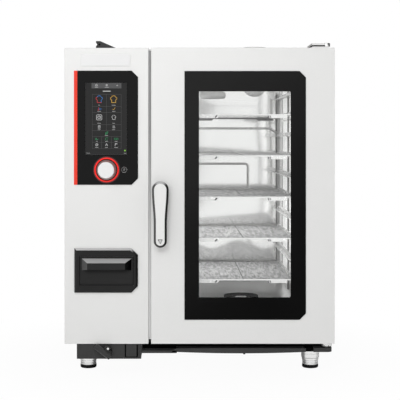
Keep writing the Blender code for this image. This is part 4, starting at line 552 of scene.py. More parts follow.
lightLook = {
    "world": 0.34, "backdrop": 1.0, "sideCards": 0.9, "sideFrom": (0.40, 0.80), "behindFrom": (0.0, 0.5),
    "softboxes": {  # place, target, size, watts
        "keySoftbox": ((-1.3, -2.7, 2.1), (-0.15, -0.39, 0.75), 4.0, 25.0),
        "fillSoftbox": ((2.4, -2.2, 1.4), (0.1, -0.3, 0.6), 1.8, 0.6),
        "rearSoftbox": ((0.6, 2.6, 2.2), (0.0, 0.3, 0.7), 1.8, 16.0),
        "frontLamp": ((-0.40, -3.9, 2.1), (-0.10, -0.39, 0.65), 1.2, 50.0)},
    # place, direction, size, watts: in at the door, to the right wall, beside the rack and behind its post
    "chamber": {
        "doorLamp": ((0.1525, -0.3255, 0.6125), (0, 1, 0), (0.365, 0.72), 0.60),
        "wallLamp": ((-0.010, 0.0, 0.6125), (1, 0, 0), (0.50, 0.72), 2.2),
        "cornerLamp": ((0.3330, 0.186, 0.6125), (1, 0, 0), (0.20, 0.72), 0.19),
        "coveLamp": ((0.3290, 0.2822, 0.6125), (1, 1, 0), (0.012, 0.72), 0.046)},
    "bays": {"centre": (0.153, 0.014), "size": (0.30, 0.46),  # one soft panel over each tray: level, watts
             "watts": {0.445: 0.60, 0.585: 0.85, 0.725: 0.36, 0.865: 0.60, 0.978: 0.70}},
    "doorFrame": {  # light bars that the bright sheet mirrors
        "frameRight": ((0.3215, -0.3230, 0.6125), (0, 1, 0), (0.050, 0.72), 0.075),
        "frameTop": ((0.1550, -0.3225, 0.963), (0, 1, 0), (0.365, 0.046), 0.032)},
}


def addLamp(name, place, direction, size, watts):
    data = bpy.data.lights.new(name, "AREA")
    data.energy = watts
    if isinstance(size, tuple):
        data.shape = "RECTANGLE"
        data.size, data.size_y = size
    else:
        data.size = size
    lamp = bpy.data.objects.new(name, data)
    lamp.location = place
    lamp.rotation_euler = Vector(direction).to_track_quat("-Z", "Y").to_euler()
    scene.collection.objects.link(lamp)
    return lamp


for name, (place, target, size, watts) in lightLook["softboxes"].items():
    lamp = addLamp(name, place, Vector(target) - Vector(place), size, watts)
    lamp.visible_glossy = name != "frontLamp"  # that one only fills the shadows
bays = lightLook["bays"]
panels = {"bayLamp%d" % (index + 1): ((*bays["centre"], level), (0, 0, -1), bays["size"], watts)
          for index, (level, watts) in enumerate(bays["watts"].items())}
for name, lampRow in {**lightLook["chamber"], **panels, **lightLook["doorFrame"]}.items():
    lamp = addLamp(name, *lampRow)
    lamp.visible_camera = False
    lamp.visible_glossy = name in lightLook["doorFrame"]
    lamp.visible_transmission = False

world = bpy.data.worlds.new("studio")
world.use_nodes = True
scene.world = world
sky = Bench(world.node_tree)
seen, mirrored = sky.seenRays()
sideways = sky.along("X", sky.add("TexCoord", output="Generated"))
behind = sky.along("Y", sky.add("TexCoord", output="Generated"))
card = sky.reach(sideways * sideways, *lightLook["sideFrom"])  # dark cards left, right and behind
card = sky.maths("MINIMUM", card + sky.reach(behind, *lightLook["behindFrom"]), 1.0)
strength = seen * (lightLook["backdrop"] - lightLook["world"]) + lightLook["world"]
strength = strength * (1 - card * mirrored * lightLook["sideCards"])
backdrop = sky.add("Background", None, {"Color": paint(1.0), "Strength": strength})
sky.add("OutputWorld", None, {"Surface": backdrop})

floorLook = {"inner": 2.0, "reach": 9.0, "sides": 64, "white": 1.0, "matt": 0.90, "shadowShare": 0.045,
             "fade": (0.45, 1.1), "underShare": 0.95, "under": (-0.31, -0.21)}


def floorShader(bench, look):  # white where it is seen, and only the floor near the feet is shaded
    seen, mirrored = bench.seenRays()
    glow = bench.add("Emission", None, {"Color": paint(1.0), "Strength": look["white"]})
    matt = bench.add("BsdfDiffuse", None, {"Color": paint(look["matt"])})
    away = bench.add("VectorMath", {"operation": "LENGTH"}, {0: bench.place()}, "Value")
    away = bench.reach(away, *look["fade"])
    inward = bench.reach(bench.along("Y"), *look["under"])
    shade = (1 - away) * (mirrored * inward * look["underShare"] + look["shadowShare"])
    return bench.add("MixShader", None, {0: seen * (1 - shade), 1: matt, 2: glow})


newFinish("floorWhite", floorShader, floorLook)
floorMesh = bmesh.new()
inner, outer = [
    [floorMesh.verts.new((a, b, 0.0)) for a, b in loop((0, 0), floorLook[key], floorLook["sides"])]
    for key in ("inner", "reach")]
floorMesh.faces.new(inner)
for index in range(floorLook["sides"]):
    floorMesh.faces.new((inner[index - 1], inner[index], outer[index], outer[index - 1]))
bmesh.ops.recalc_face_normals(floorMesh, faces=floorMesh.faces)
floorData = bpy.data.meshes.new("floor")
floorMesh.to_mesh(floorData)
floorMesh.free()
floor = bpy.data.objects.new("floor", floorData)
scene.collection.objects.link(floor)
floorData.materials.append(finish["floorWhite"])
print("camera, light and floor set")


# plain sheet work that only needs soft edges: finish and edge radius
sheetLook = {
    "case": {
        "left_side_panel": ("paleSteel", 0.0006), "right_side_panel": ("paleSteel", 0.0006),
        "top_cover": ("paleSteel", 0.0006), "rear_panel": ("rearSteel", 0.0006),
        "front_frame": ("paleSteel", 0.0), "control_fascia": ("paleSteel", 0.0006),
        "gap_trim": ("trimGrey", 0.0012), "name_plate": ("whitePlastic", 0.0004),
        "accent_strip": ("redPlastic", 0.0005), "drawer_bezel": ("bezelBlack", 0.0012),
        "drawer_sleeve": ("greyPlastic", 0.0004), "cavity_gasket": ("rubber", 0.002),
        "cavity_liner": ("chamberSteel", 0.0006), "air_baffle": ("chamberSteel", 0.0006),
        "water_valve": ("brassCast", 0.0015), "cable_gland": ("blackPlastic", 0.0010),
        "shower_housing": ("greyPlastic", 0.0010), "drain_pipe": ("greyPlastic", 0.0006),
        "keeper_stud": ("brightSteel", 0.0006)},
    "door": {"door_skin": ("paleSteel", 0.0008), "door_inner_glass": ("clearPane", 0.0008)},
    "handle": {"latch_hook": ("brightSteel", 0.0006)},
}
lowEdgeLook = {  # lower edges that differ from the plain shape: drop, and depth from the front
    "control_fascia": (0.0024, 0.028), "shower_housing": (0.0043, 0.30), "door_skin": (-0.0009, 0.10)}
gripLook = {"brow": 0.0044, "proud": 0.020}
trayNodes = ["tray_%d" % (index + 1) for index in range(5)]
trayFinishes = "trayGranite railSteel shadedSteel footSteel"


def lowEdge(node):
    if node not in lowEdgeLook:
        return None
    drop, depth = lowEdgeLook[node]
    (front, _), (low, _) = spanOf(node)[1:]
    return lambda spot: -drop if spot.z < low + 0.003 and spot.y < front + depth else 0.0


def trayFace(face):  # a tray's edges, the inside of its rear lip and its underside have their own finishes; the inside of the rear lip is painted dark as shade
    if face.normal.z >= 0.5:
        return 0
    rear = face.normal.y < -0.5 and face.calc_center_median().y > 0
    return 3 if face.normal.z < -0.5 else 2 if rear else 1


for body, sheets in sheetLook.items():
    for node, (look, bevel) in sheets.items():
        fineCopy(node, body, look, bevel, lowEdge(node))
gripTip = spanOf("detergent_drawer")[1][0] + gripLook["proud"]
fineCopy("detergent_drawer", "drawer", "drawerGrey", 0.0009,
         lambda spot: gripLook["brow"] if spot.y < gripTip else 0.0)
for node in trayNodes:
    fineCopy(node, "case", trayFinishes, 0.0007, None, trayFace)
print("sheet work softened")


# outer pane: black border with a clear window that has round right corners
paneLook = {"chamfer": 0.0207, "windowX": (-0.001, 0.2985), "windowZ": (0.268, 0.941),
            "corners": (0.001, 0.006, 0.006, 0.001), "edge": 0.0007}
paneX, paneY, paneZ = spanOf("door_outer_glass")
window = rounded(paneLook["windowX"], paneLook["windowZ"], paneLook["corners"], 6)
border = plate([cutCorners(paneX, paneZ, paneLook["chamfer"]), window], "y", paneY)
makePiece("door_pane_border", "door", "blackBorder", [border], "door_outer_glass",
          paneLook["edge"])
makePiece("door_pane_window", "door", "clearPane", [plate([window], "y", paneY)], "door_outer_glass")


# behind the pane: a black frame with a tunnel to the inner glass, and the steel sheet on the door's inside
innerLook = {"flange": 0.003, "tunnel": 0.0095, "tunnelWall": 0.0035, "sheetWindow": 0.0115,
             "spindle": (-0.127, 0.622), "spindleHole": 0.009}


def windowGrown(amount):
    return rounded(grown(paneLook["windowX"], amount), grown(paneLook["windowZ"], amount), 0.006, 4)


frameX, frameY, frameZ = spanOf("window_frame")
opening, flange = windowGrown(innerLook["tunnel"]), innerLook["flange"]
tunnel = windowGrown(innerLook["tunnel"] + innerLook["tunnelWall"])
makePiece("window_frame_fine", "door", "blackBorder", [
    plate([rounded(frameX, frameZ, 0.004), opening], "y", (frameY[0], frameY[0] + flange)),
    plate([tunnel, opening], "y", (frameY[0] + flange * 0.9, frameY[1]))], "window_frame")
sheetX, sheetY, sheetZ = spanOf("door_inner_frame")
spindleHole = loop(innerLook["spindle"], innerLook["spindleHole"], 32)
makePiece("door_inner_sheet", "door", "brightSteel", [
    plate([rounded(sheetX, sheetZ, 0.003), windowGrown(innerLook["sheetWindow"]), spindleHole], "y", sheetY)],
    "door_inner_frame")
print("door pane made")


# lever handle: dark core whose rim round the pale face plate is painted shade, hub, outline triangle at the
# foot
handleLook = {"pivot": (-0.127, 0.622), "head": 0.027, "tail": 0.021, "length": 0.187, "waist": 0.110,
              "front": -0.449, "back": -0.425, "rim": 0.0070, "plate": 0.0016, "hub": 0.019,
              "markDrop": 0.166, "markSize": 0.0066, "markLine": 0.0022}


def handleOutline(inset):
    head = handleLook["head"] - inset
    tail = handleLook["tail"] - inset
    low = handleLook["tail"] - handleLook["length"]
    flank = []
    for step in range(1, 16):
        share = step / 16
        ease = share * share * (3 - 2 * share)
        flank.append((head + (tail - head) * ease, -handleLook["waist"] * share))
    outline = arc((0, 0), head, 0, 180, 24) + [(-x, z) for x, z in flank]
    outline += arc((0, low), tail, 180, 360, 20) + flank[::-1]
    return [(handleLook["pivot"][0] + x, handleLook["pivot"][1] + z) for x, z in outline]


def handleSkin(levels):
    return rings([[at("y", a, b, level) for a, b in handleOutline(inset)] for level, inset in levels])


front, back, rim = handleLook["front"], handleLook["back"], handleLook["rim"]
coreFront = front + handleLook["plate"] * 0.6
core = profile(back, 0.0, (0, 0.0035), (-0.0012, 0.0010), (-0.0035, 0.0))
core += profile(coreFront, 0.0, (0.0072, 0.0), (0.0066, 0.0003), (0.0, rim - 0.0002))
hub = profile(back, handleLook["hub"], (-0.002, 0), (0.0260, 0), (0.0290, 0.002), (0.0334, 0.002))
makePiece("handle_core", "handle", "handleCore", [
    handleSkin(core), turned(hub, handleLook["pivot"], "y")], "door_handle")
makePiece("handle_face", "handle", "paleSteel", [
    handleSkin([(coreFront + 0.0004, rim), (front + 0.0006, rim), (front, rim + 0.0008)])], "door_handle")
size = handleLook["markSize"]
markX, markZ = handleLook["pivot"][0], handleLook["pivot"][1] - handleLook["markDrop"]
mark = [(markX - size, markZ + size * 0.8), (markX + size, markZ + size * 0.8), (markX, markZ - size)]
makePiece("handle_mark", "handle", "inkGrey", [
    stroke(mark, handleLook["markLine"], "y", (front, front + 0.0004), closed=True)])
print("handle made")


# control glass with the touch display behind it
glassX, glassY, glassZ = spanOf("control_glass")
screenX, screenY, screenZ = spanOf("display_module")
knobX, knobY, knobZ = spanOf("control_knob")
knobCentre = (middleOf(knobX), middleOf(knobZ))
controlLook = {"chamfer": 0.021, "bushHole": 0.0103, "edge": 0.0005, "powerX": -0.2465, "powerRing": 0.0084,
               "stroke": 0.0021, "screenGap": 0.0003, "powerArc": 0.0030, "powerBar": (0.0012, 0.0046)}
screenHole = rounded(*[grown(span, controlLook["screenGap"]) for span in (screenX, screenZ)], 0)
bushHole = loop(knobCentre, controlLook["bushHole"], 32)
makePiece("control_glass_fine", "case", "blackGlass", [
    plate([cutCorners(glassX, glassZ, controlLook["chamfer"]), screenHole, bushHole], "y", glassY)],
    "control_glass", bevel=controlLook["edge"])
inkY = (glassY[0] - 0.00012, glassY[0] + 0.0003)
power = (controlLook["powerX"], knobCentre[1])
powerBar = [(power[0], power[1] + level) for level in controlLook["powerBar"]]
makePiece("power_symbol", "case", "printGrey", [
    stroke(loop(power, controlLook["powerRing"], 40), controlLook["stroke"], "y", inkY, closed=True),
    stroke(arc(power, controlLook["powerArc"], 125, 415, 18), 0.0006, "y", inkY),
    stroke(powerBar, 0.0010, "y", inkY)])
makePiece("display_panel", "case", "screenBlack", [prism(rounded(screenX, screenZ, 0.0006), "y", screenY)],
          "display_module", bevel=0.0002)

displayLook = {  # millimetres from the screen's left and top edges
    "shift": 1.6, "header": (19.3, 117.3, 0.6, 18.3), "columns": (21.7, 68.0, 116.6),
    "rows": (38.0, 77.6, 97.6, 137.3, 157.0, 176.6, 195.6, 216.3), "thirds": (52.0, 84.5),
    "footLine": (0.0, 134.6, 235.0), "line": 0.7, "largeFrom": 8, "largeLine": 1.35, "smallLine": 0.9,
    "caption": 0.8, "title": (27.5, 2.2), "status": (129.0, 222.5), "statusDot": 2.4}


def onScreen(right, down):
    return (screenX[0] + (right + displayLook["shift"]) / 1000, screenZ[1] - down / 1000)


def ring(radius, centre=(0, 0), start=0, end=360):
    return arc(centre, radius, start, end, 18)


# plain pictograms drawn in a square from -1 to 1
pictograms = {
    "house": [[(-1, 0), (0, 0.9), (1, 0)], [(-0.7, 0.2), (-0.7, -0.8), (0.7, -0.8), (0.7, 0.2)]],
    "lines": [[(-0.8, level), (0.8, level)] for level in (0.6, 0, -0.6)],
    "plus": [[(-0.7, 0), (0.7, 0)], [(0, -0.7), (0, 0.7)]],
    "hatFoot": [[(0.6, -1.0), (-0.6, -1.0), (-0.6, -0.25), (-0.9, 0.0), (-0.95, 0.4), (-0.6, 0.65)]],
    "hatTop": [[(-0.6, 0.65), (-0.4, 0.95), (0.0, 1.05), (0.4, 0.95), (0.6, 0.65), (0.95, 0.4), (0.9, 0.0),
                (0.6, -0.25), (0.6, -0.9)]],
    "thermometer": [[(0.0, 0.9), (0.0, -0.35)], ring(0.38, (0, -0.65))],
    "tick": [[(-0.7, 0.0), (-0.15, -0.6), (0.8, 0.7)]],
    "dial": [rounded((-0.9, 0.9), (-0.9, 0.9), 0.3, 4) + [(-0.9, -0.6)], ring(0.5), [(0, 0), (0.3, 0.35)]],
    "page": [[(-0.6, -0.9), (-0.6, 0.9), (0.6, 0.9), (0.6, -0.9), (-0.6, -0.9)], [(-0.3, 0.3), (0.3, 0.3)],
             [(-0.3, -0.2), (0.3, -0.2)]],
    "leaf": [[(-0.8, -0.8), (-0.6, 0.3), (0.1, 0.8), (0.9, 0.9), (0.8, 0.0), (0.2, -0.6), (-0.8, -0.8),
              (0.4, 0.4)]],
    "wave": [[(-0.9, 0.1), (-0.5, 0.5), (0.0, 0.0), (0.5, -0.5), (0.9, -0.1)],
             [(-0.9, -0.5), (-0.5, -0.1), (0.0, -0.6)]],
    "turn": [ring(0.75, (0, 0), 40, 330), [(0.3, 0.55), (0.62, 0.5), (0.75, 0.85)]],
    "pair": [ring(0.55, (-0.6, 0)), ring(0.55, (0.6, 0))],
    "gear": [ring(0.45), ring(0.8)],
    "arrow": [[(-0.7, -0.7), (0.0, 0.8), (0.7, -0.7)], [(-0.35, -0.1), (0.35, -0.1)]],
    "flag": [[(-0.6, -0.9), (-0.6, 0.9), (0.8, 0.6), (-0.6, 0.1)]],
}
tileIcons = [  # pictogram, finish, right, down, half size in millimetres
    ("house", "iconWhite", 35.5, 8.0, 3.6), ("lines", "iconWhite", 69.0, 8.0, 3.6),
    ("plus", "iconWhite", 103.5, 9.0, 3.2), ("hatFoot", "iconRed", 44.5, 54.0, 11.0),
    ("hatTop", "iconBlue", 44.5, 54.0, 11.0), ("hatFoot", "iconAmber", 92.0, 54.0, 11.0),
    ("hatTop", "iconAmber", 92.0, 54.0, 11.0), ("thermometer", "iconRed", 42.0, 85.5, 5.0),
    ("wave", "iconBlue", 48.0, 85.0, 4.4), ("tick", "iconAmber", 92.5, 85.5, 5.4),
    ("dial", "iconWhite", 44.5, 113.5, 9.5), ("hatFoot", "iconWhite", 92.5, 113.5, 7.0),
    ("hatTop", "iconWhite", 92.5, 113.5, 7.0), ("page", "iconWhite", 44.5, 145.0, 5.0),
    ("lines", "iconWhite", 92.5, 145.0, 5.0), ("leaf", "iconGreen", 68.5, 165.5, 5.2),
    ("wave", "iconGreen", 36.5, 184.5, 5.2), ("turn", "iconGreen", 68.5, 184.5, 5.2),
    ("pair", "iconGreen", 100.0, 184.5, 5.6), ("gear", "iconWhite", 36.5, 203.5, 5.2),
    ("arrow", "iconWhite", 68.5, 203.5, 5.2), ("flag", "iconWhite", 100.0, 203.5, 5.2),
]
captionBars = [  # right, down, length in millimetres
    (35.5, 15.0, 11.0), (69.0, 15.0, 13.0), (69.0, 27.5, 24.0), (44.5, 73.6, 5.0), (92.0, 73.6, 12.0),
    (44.5, 93.8, 11.0), (92.0, 93.8, 10.0), (44.5, 133.0, 11.0), (92.0, 133.0, 7.0), (44.5, 154.0, 8.0),
    (92.0, 154.0, 9.0), (68.5, 173.2, 10.0), (36.5, 192.2, 6.0), (68.5, 192.2, 9.0), (100.0, 192.2, 9.0),
    (36.5, 212.6, 10.0), (68.5, 212.6, 8.0), (100.0, 212.6, 11.0), (8.0, 231.0, 12.0), (129.0, 231.5, 7.0)]
lineY = (screenY[0] - 0.00010, screenY[0] + 0.0003)
iconY = (screenY[0] - 0.00018, screenY[0] + 0.0003)


def screenLine(points, width, span):
    return stroke([onScreen(*point) for point in points], width / 1000, "y", span)


left, right, top, low = displayLook["header"]
header = [onScreen(*point) for point in ((left, low), (right, low), (right, top), (left, top))]
makePiece("display_header", "case", "headerGrey", [prism(header, "y", lineY)])
columns, rows = displayLook["columns"], displayLook["rows"]
footLeft, footRight, footDown = displayLook["footLine"]
lines = [[(columns[0], row), (columns[2], row)] for row in rows]
lines += [[(columns[1], rows[0]), (columns[1], rows[4])]]
lines += [[(third, rows[5]), (third, rows[7])] for third in displayLook["thirds"]]
lines += [[(edge, rows[0]), (edge, rows[7])] for edge in (columns[0], columns[2])]
lines += [[(footLeft, footDown), (footRight, footDown)]]
gridBars = [screenLine(line, displayLook["line"], lineY) for line in lines]
makePiece("display_grid", "case", "gridGrey", gridBars)
iconShapes = {}
for pictogram, look, rightAt, downAt, half in tileIcons:
    width = displayLook["largeLine" if half > displayLook["largeFrom"] else "smallLine"]
    for line in pictograms[pictogram]:
        points = [(rightAt + a * half, downAt - b * half) for a, b in line]
        iconShapes.setdefault(look, []).append(screenLine(points, width, iconY))
titleDown, titleWidth = displayLook["title"]
for rightAt, downAt, length in captionBars:
    width = titleWidth if downAt == titleDown else displayLook["caption"]
    bar = [(rightAt - length / 2, downAt), (rightAt + length / 2, downAt)]
    iconShapes["iconWhite"].append(screenLine(bar, width, iconY))
for look, shapes in iconShapes.items():
    makePiece("display_" + look, "case", look, shapes)
statusDot = loop(onScreen(*displayLook["status"]), displayLook["statusDot"] / 1000, 16)
makePiece("display_status", "case", "statusGreen", [prism(statusDot, "y", iconY)])
print("controls made:", len(tileIcons), "pictograms")


# knob: white cap, grey turned side, the glowing ring round it, a well painted black as shade, and a painted
# red glow on the glass round the ring
knobLook = {"face": 0.0266, "base": 0.0325, "ringOut": 0.0407, "ringLit": 0.0356, "ringIn": 0.0338}
face, base, ringOut, ringLit, ringIn = knobLook.values()
knobFront, knobBack = knobY
ringFront, ringBack = spanOf("knob_ring")[1]


def knobPiece(name, body, look, steps, node=None, sides=72, sharp=60.0, closed=True):
    makePiece(name, body, look, [turned(steps, knobCentre, "y", sides, 0, closed)], node, sharp=sharp)


knobSide = profile(knobBack, base, (0, -0.0275), (0, -0.0005), (-0.0008, 0), (-0.0070, 0), (-0.0084, -0.0005),
                   (-0.0100, -0.0019))
knobSide += profile(knobFront, face, (0.0052, 0.0010), (0.0044, 0.0004), (0.0044, -0.0216))
knobPiece("knob_side", "knob", "knobSilver", knobSide, "control_knob", sides=64, sharp=50.0)
knobPiece("knob_cap", "knob", "whitePlastic", profile(
    knobFront, face, (0.0043, -0.0206), (0.0043, 0.0002), (0.0012, -0.0002), (0.0004, -0.0010), (0, -0.0024),
    (0.0005, -0.0056), (0.0008, -0.0206)), "control_knob", sides=64, closed=False)
ringSteps = [(ringBack, ringLit), (ringBack, ringOut)]
ringSteps += profile(ringFront, ringOut, (0.0010, 0), (0.0002, -0.0008), (0, -0.0020))
knobPiece("ring_light", "case", "ringGlow", ringSteps + [(ringFront + 0.0002, ringLit)], "knob_ring")
# the well between knob and ring is painted black as shade
wellSteps = [(ringBack, ringIn), (ringBack, ringLit)]
wellSteps += [(ringFront + 0.0004, ringLit), (ringFront + 0.0016, ringIn)]
knobPiece("ring_well", "case", "shadowBlack", wellSteps, "knob_ring")
# painted red glow of the ring on the glass round it
knobPiece("ring_halo", "case", "haloRed", profile(
    glassY[0], ringOut, (0.0003, -0.0006), (0.0003, 0.0036), (-0.0001, 0.0034), (-0.0002, -0.0006)))
print("knob and ring made")


# base pan with round sleeves, and the four screw feet
footLook = {"sleeve": 0.0305, "wall": 0.005, "sleeveLow": 0.035, "body": 0.0284, "waist": 0.0268,
            "step": 0.0272, "pad": 0.0118, "sides": 56, "threads": 12}
panLook = {"depth": 0.040, "sheet": 0.002}
corners = ("front_left", "front_right", "rear_left", "rear_right")
panX, panY, panZ = spanOf("base_frame")
panLow, sheet = panZ[1] - panLook["depth"], panLook["sheet"]
wallX, wallZ = grown(panX, -0.0015), (panLow + 0.001, panZ[1])
out, wall, low = footLook["sleeve"], footLook["wall"], footLook["sleeveLow"]
sleeve = profile(low, out, (0, -wall), (0, -0.0012), (0.0012, 0), (0.013, 0), (0.0136, -0.0006),
                 (0.0150, -0.0006), (0.0156, 0))
sleeve += profile(panLow, out, (-0.0006, 0), (0.0010, 0), (0.0010, -wall))
footMiddle = {corner: [middleOf(span) for span in spanOf("foot_" + corner)[:2]] for corner in corners}
sleeves = [turned(sleeve, footMiddle[corner], sides=footLook["sides"], closed=True) for corner in corners]
makePiece("base_pan", "case", "footSteel", [
    block(panX, panY, (panLow, panLow + sheet)),
    block((panX[0], panX[0] + sheet), panY, wallZ),
    block((panX[1] - sheet, panX[1]), panY, wallZ),
    block(wallX, (panY[0], panY[0] + sheet), wallZ),
    block(wallX, (panY[1] - sheet, panY[1]), wallZ), *sleeves], "base_frame")
radius, waist, step, pad = [footLook[key] for key in ("body", "waist", "step", "pad")]
top, stem = low - 0.0003, out - wall - 0.0005
for corner in corners:
    foot, body = "foot_" + corner, corner + "_foot"
    footTop = spanOf(foot)[2][1]
    steel = profile(pad, waist, (-0.0005, -0.004), (-0.0002, -0.0006), (0.0006, 0), (0.0060, 0),
                    (0.0066, -0.0007), (0.0078, -0.0007), (0.0084, 0))
    steel += profile(step, waist, (-0.0012, 0), (-0.0006, -0.0010), (0, -0.0010))
    steel += [(step + 0.0008, radius), (top - 0.0008, radius), (top, radius - 0.0008)]
    for turn in range(footLook["threads"]):  # screw thread inside the sleeve
        level = top + 0.002 + turn * (footTop - top - 0.004) / footLook["threads"]
        steel += profile(level, stem, (0, -0.0016), (0.0017, 0))
    steel += profile(footTop, stem, (-0.0012, -0.0016), (0, -0.0030))
    rubber = profile(0.0, waist, (0, -0.0040), (0.0006, -0.0016), (0.0022, 0.0004), (0.0060, 0.0009))
    rubber += profile(pad, waist, (-0.0008, 0.0008), (0, -0.0003), (0, -0.0080))
    for ending, look, slot, steps in (
            ("_steel", "footSteel", None, steel), ("_pad", "rubber", "rubber", rubber)):
        shape = turned(steps, footMiddle[corner], sides=footLook["sides"])
        makePiece(foot + ending, body, look, [shape], foot, sharp=30.0)
print("base and feet made")


# hinges: arm, turned knuckle and pin head above, disc and arm below
hingeLook = {"axis": (0.421, -0.351), "knuckle": 0.0118, "disc": 0.018, "discTop": 0.1137, "pin": 0.006,
             "hole": 0.0026, "levels": (1.0853, 1.0903, 1.0944, 1.1008),
             "washer": ((0.0968, 0.0050), (0.0976, 0.0090), (0.0992, 0.0125), (0.1024, 0.0170)),
             "holes": ((0.4120, 0.1052), (0.4252, 0.1050)), "screwHole": 0.0018}
upX, upY, upZ = spanOf("upper_hinge_bracket")
lowY, lowZ = spanOf("lower_hinge_bracket")[1:]
axisX, axisY = hinge = hingeLook["axis"]
armLow, armFoot, armWeb, armTop = hingeLook["levels"]
pin, knuckle, disc, hole = [hingeLook[key] for key in ("pin", "knuckle", "disc", "hole")]
discLow, discHigh = lowZ[0], hingeLook["discTop"]


def armPlate(left, right, y, radii, span):
    return prism(rounded((left, right), y, radii, 5), "z", span)


makePiece("upper_hinge_arm", "case", "paleSteel", [
    armPlate(upX[0] + 0.001, axisX + 0.008, upY, (0.003, 0.003, 0.006, 0.006), (armLow, armFoot)),
    armPlate(upX[0], axisX - 0.006, upY, (0.004, 0.001, 0.001, 0.006), (armWeb, armTop)),
    turned([(armTop - 0.001, 0.0024), (upZ[1] - 0.0004, 0.0024), (upZ[1], 0.0018)],
           (upX[0] + 0.012, upY[0] + 0.008), sides=20)], "upper_hinge_bracket", bevel=0.0008)
# the web under the arm and the hole in it are painted black as the shade in the gap
webRadii = (0.003, 0.001, 0.001, 0.005)
webHole = profile(upY[0], hole, (0.0002, -0.0004), (0.0004, 0), (0.0040, 0))
makePiece("upper_hinge_web", "case", "shadowBlack", [
    armPlate(upX[0] + 0.0015, axisX - 0.005, grown(upY, -0.0012), webRadii, (armFoot, armWeb)),
    turned(webHole, (axisX + 0.0045, armTop - 0.0022), "y", 24)], "upper_hinge_bracket")
knuckleSteps = profile(armFoot, knuckle, (0, -0.0006), (0.0006, 0))
knuckleSteps += profile(upZ[1], knuckle, (-0.0010, 0), (0, -0.0012), (-0.0006, -0.0048), (-0.0006, -0.0068))
makePiece("upper_hinge_knuckle", "case", "footSteel", [
    turned(knuckleSteps, hinge),
    turned([(upZ[0], pin - 0.001), (upZ[0] + 0.001, pin), (armLow + 0.001, pin)], hinge, sides=32)],
    "upper_hinge_bracket")
discSteps = profile(discLow, disc, (0, -0.0030), (0.0006, -0.0012), (0.0018, 0))
discSteps += profile(discHigh, disc, (-0.0010, 0), (0, -0.0008))
makePiece("lower_hinge_fine", "case", "brightSteel", [
    turned(discSteps, hinge),
    turned([(discHigh - 0.001, pin), (lowZ[1] - 0.001, pin), (lowZ[1], pin - 0.001)], hinge, sides=32),
    block(grown((axisX, axisX), 0.009), (axisY, lowY[1]), (discLow + 0.0006, discHigh - 0.0004))],
    "lower_hinge_bracket")
makePiece("hinge_washer", "case", "railSteel", [turned(hingeLook["washer"], hinge)],
          sharp=60.0)
# dark plugs on the disc, painted black as the shade in its screw holes
holes = []
for x, z in hingeLook["holes"]:
    frontY = axisY - math.sqrt(disc ** 2 - (x - axisX) ** 2)
    steps = profile(frontY, hingeLook["screwHole"], (-0.0002, -0.0004), (0, 0), (0.0030, 0))
    holes.append(turned(steps, (x, z), "y", 20))
makePiece("hinge_holes", "case", "shadowBlack", holes)
print("hinges made")


# hand shower: ball joint, slanted spray tube with a flared mouth, spigot, and a bright stud that is a painted
# highlight on the ball
showerLook = {
    "ball": (-0.302, -0.377, 0.0917), "ballRadius": 0.0155, "tube": (-0.3155, -0.387, 0.08945), "tilt": 37.0,
    "length": 0.062, "spigot": 0.009, "spigotEnd": -0.3510, "rivet": (-0.2985, -0.3885, 0.0995),
    "rivetSteps": ((0, 0.0036), (-0.0022, 0.0040), (-0.0032, 0.0032), (-0.0036, 0.0016)),
    "shares": (-0.5, -0.49, -0.46, -0.40, -0.385, -0.37, 0.25, 0.28, 0.44, 0.48, 0.5),
    "widths": (0.0080, 0.0093, 0.0099, 0.0099, 0.0090, 0.0096, 0.0096, 0.0100, 0.0100, 0.0096, 0.0080)}
ballX, ballY, ballZ = showerLook["ball"]
ball = [(ballY + up, out) for out, up in arc((0, 0), showerLook["ballRadius"], -84, 84, 18)]
spigot = profile(showerLook["spigotEnd"], showerLook["spigot"], (-0.0002, 0), (0, -0.001))
makePiece("shower_ball", "shower", "showerBlack", [
    turned(ball, (ballX, ballZ), "y", 40),
    turned([(ballY, showerLook["spigot"])] + spigot, (ballX, ballZ), "y", 32)], "shower_head", sharp=30.0)
tilt = math.radians(showerLook["tilt"])
along = Vector((math.cos(tilt), 0.0, -math.sin(tilt)))
path = [Vector(showerLook["tube"]) + along * (share * showerLook["length"]) for share in showerLook["shares"]]
makePiece("shower_head_fine", "shower", "showerGrey", [tube(path, showerLook["widths"], 32)], "shower_head",
          sharp=30.0)
# painted highlight: a small bright stud where the ball catches the light
paintedGlintX, paintedGlintY, paintedGlintZ = showerLook["rivet"]
rivet = turned(profile(paintedGlintY, 0.0, *showerLook["rivetSteps"]), (paintedGlintX, paintedGlintZ), "y", 24)
makePiece("shower_rivet", "shower", "railSteel", [rivet], sharp=30.0)
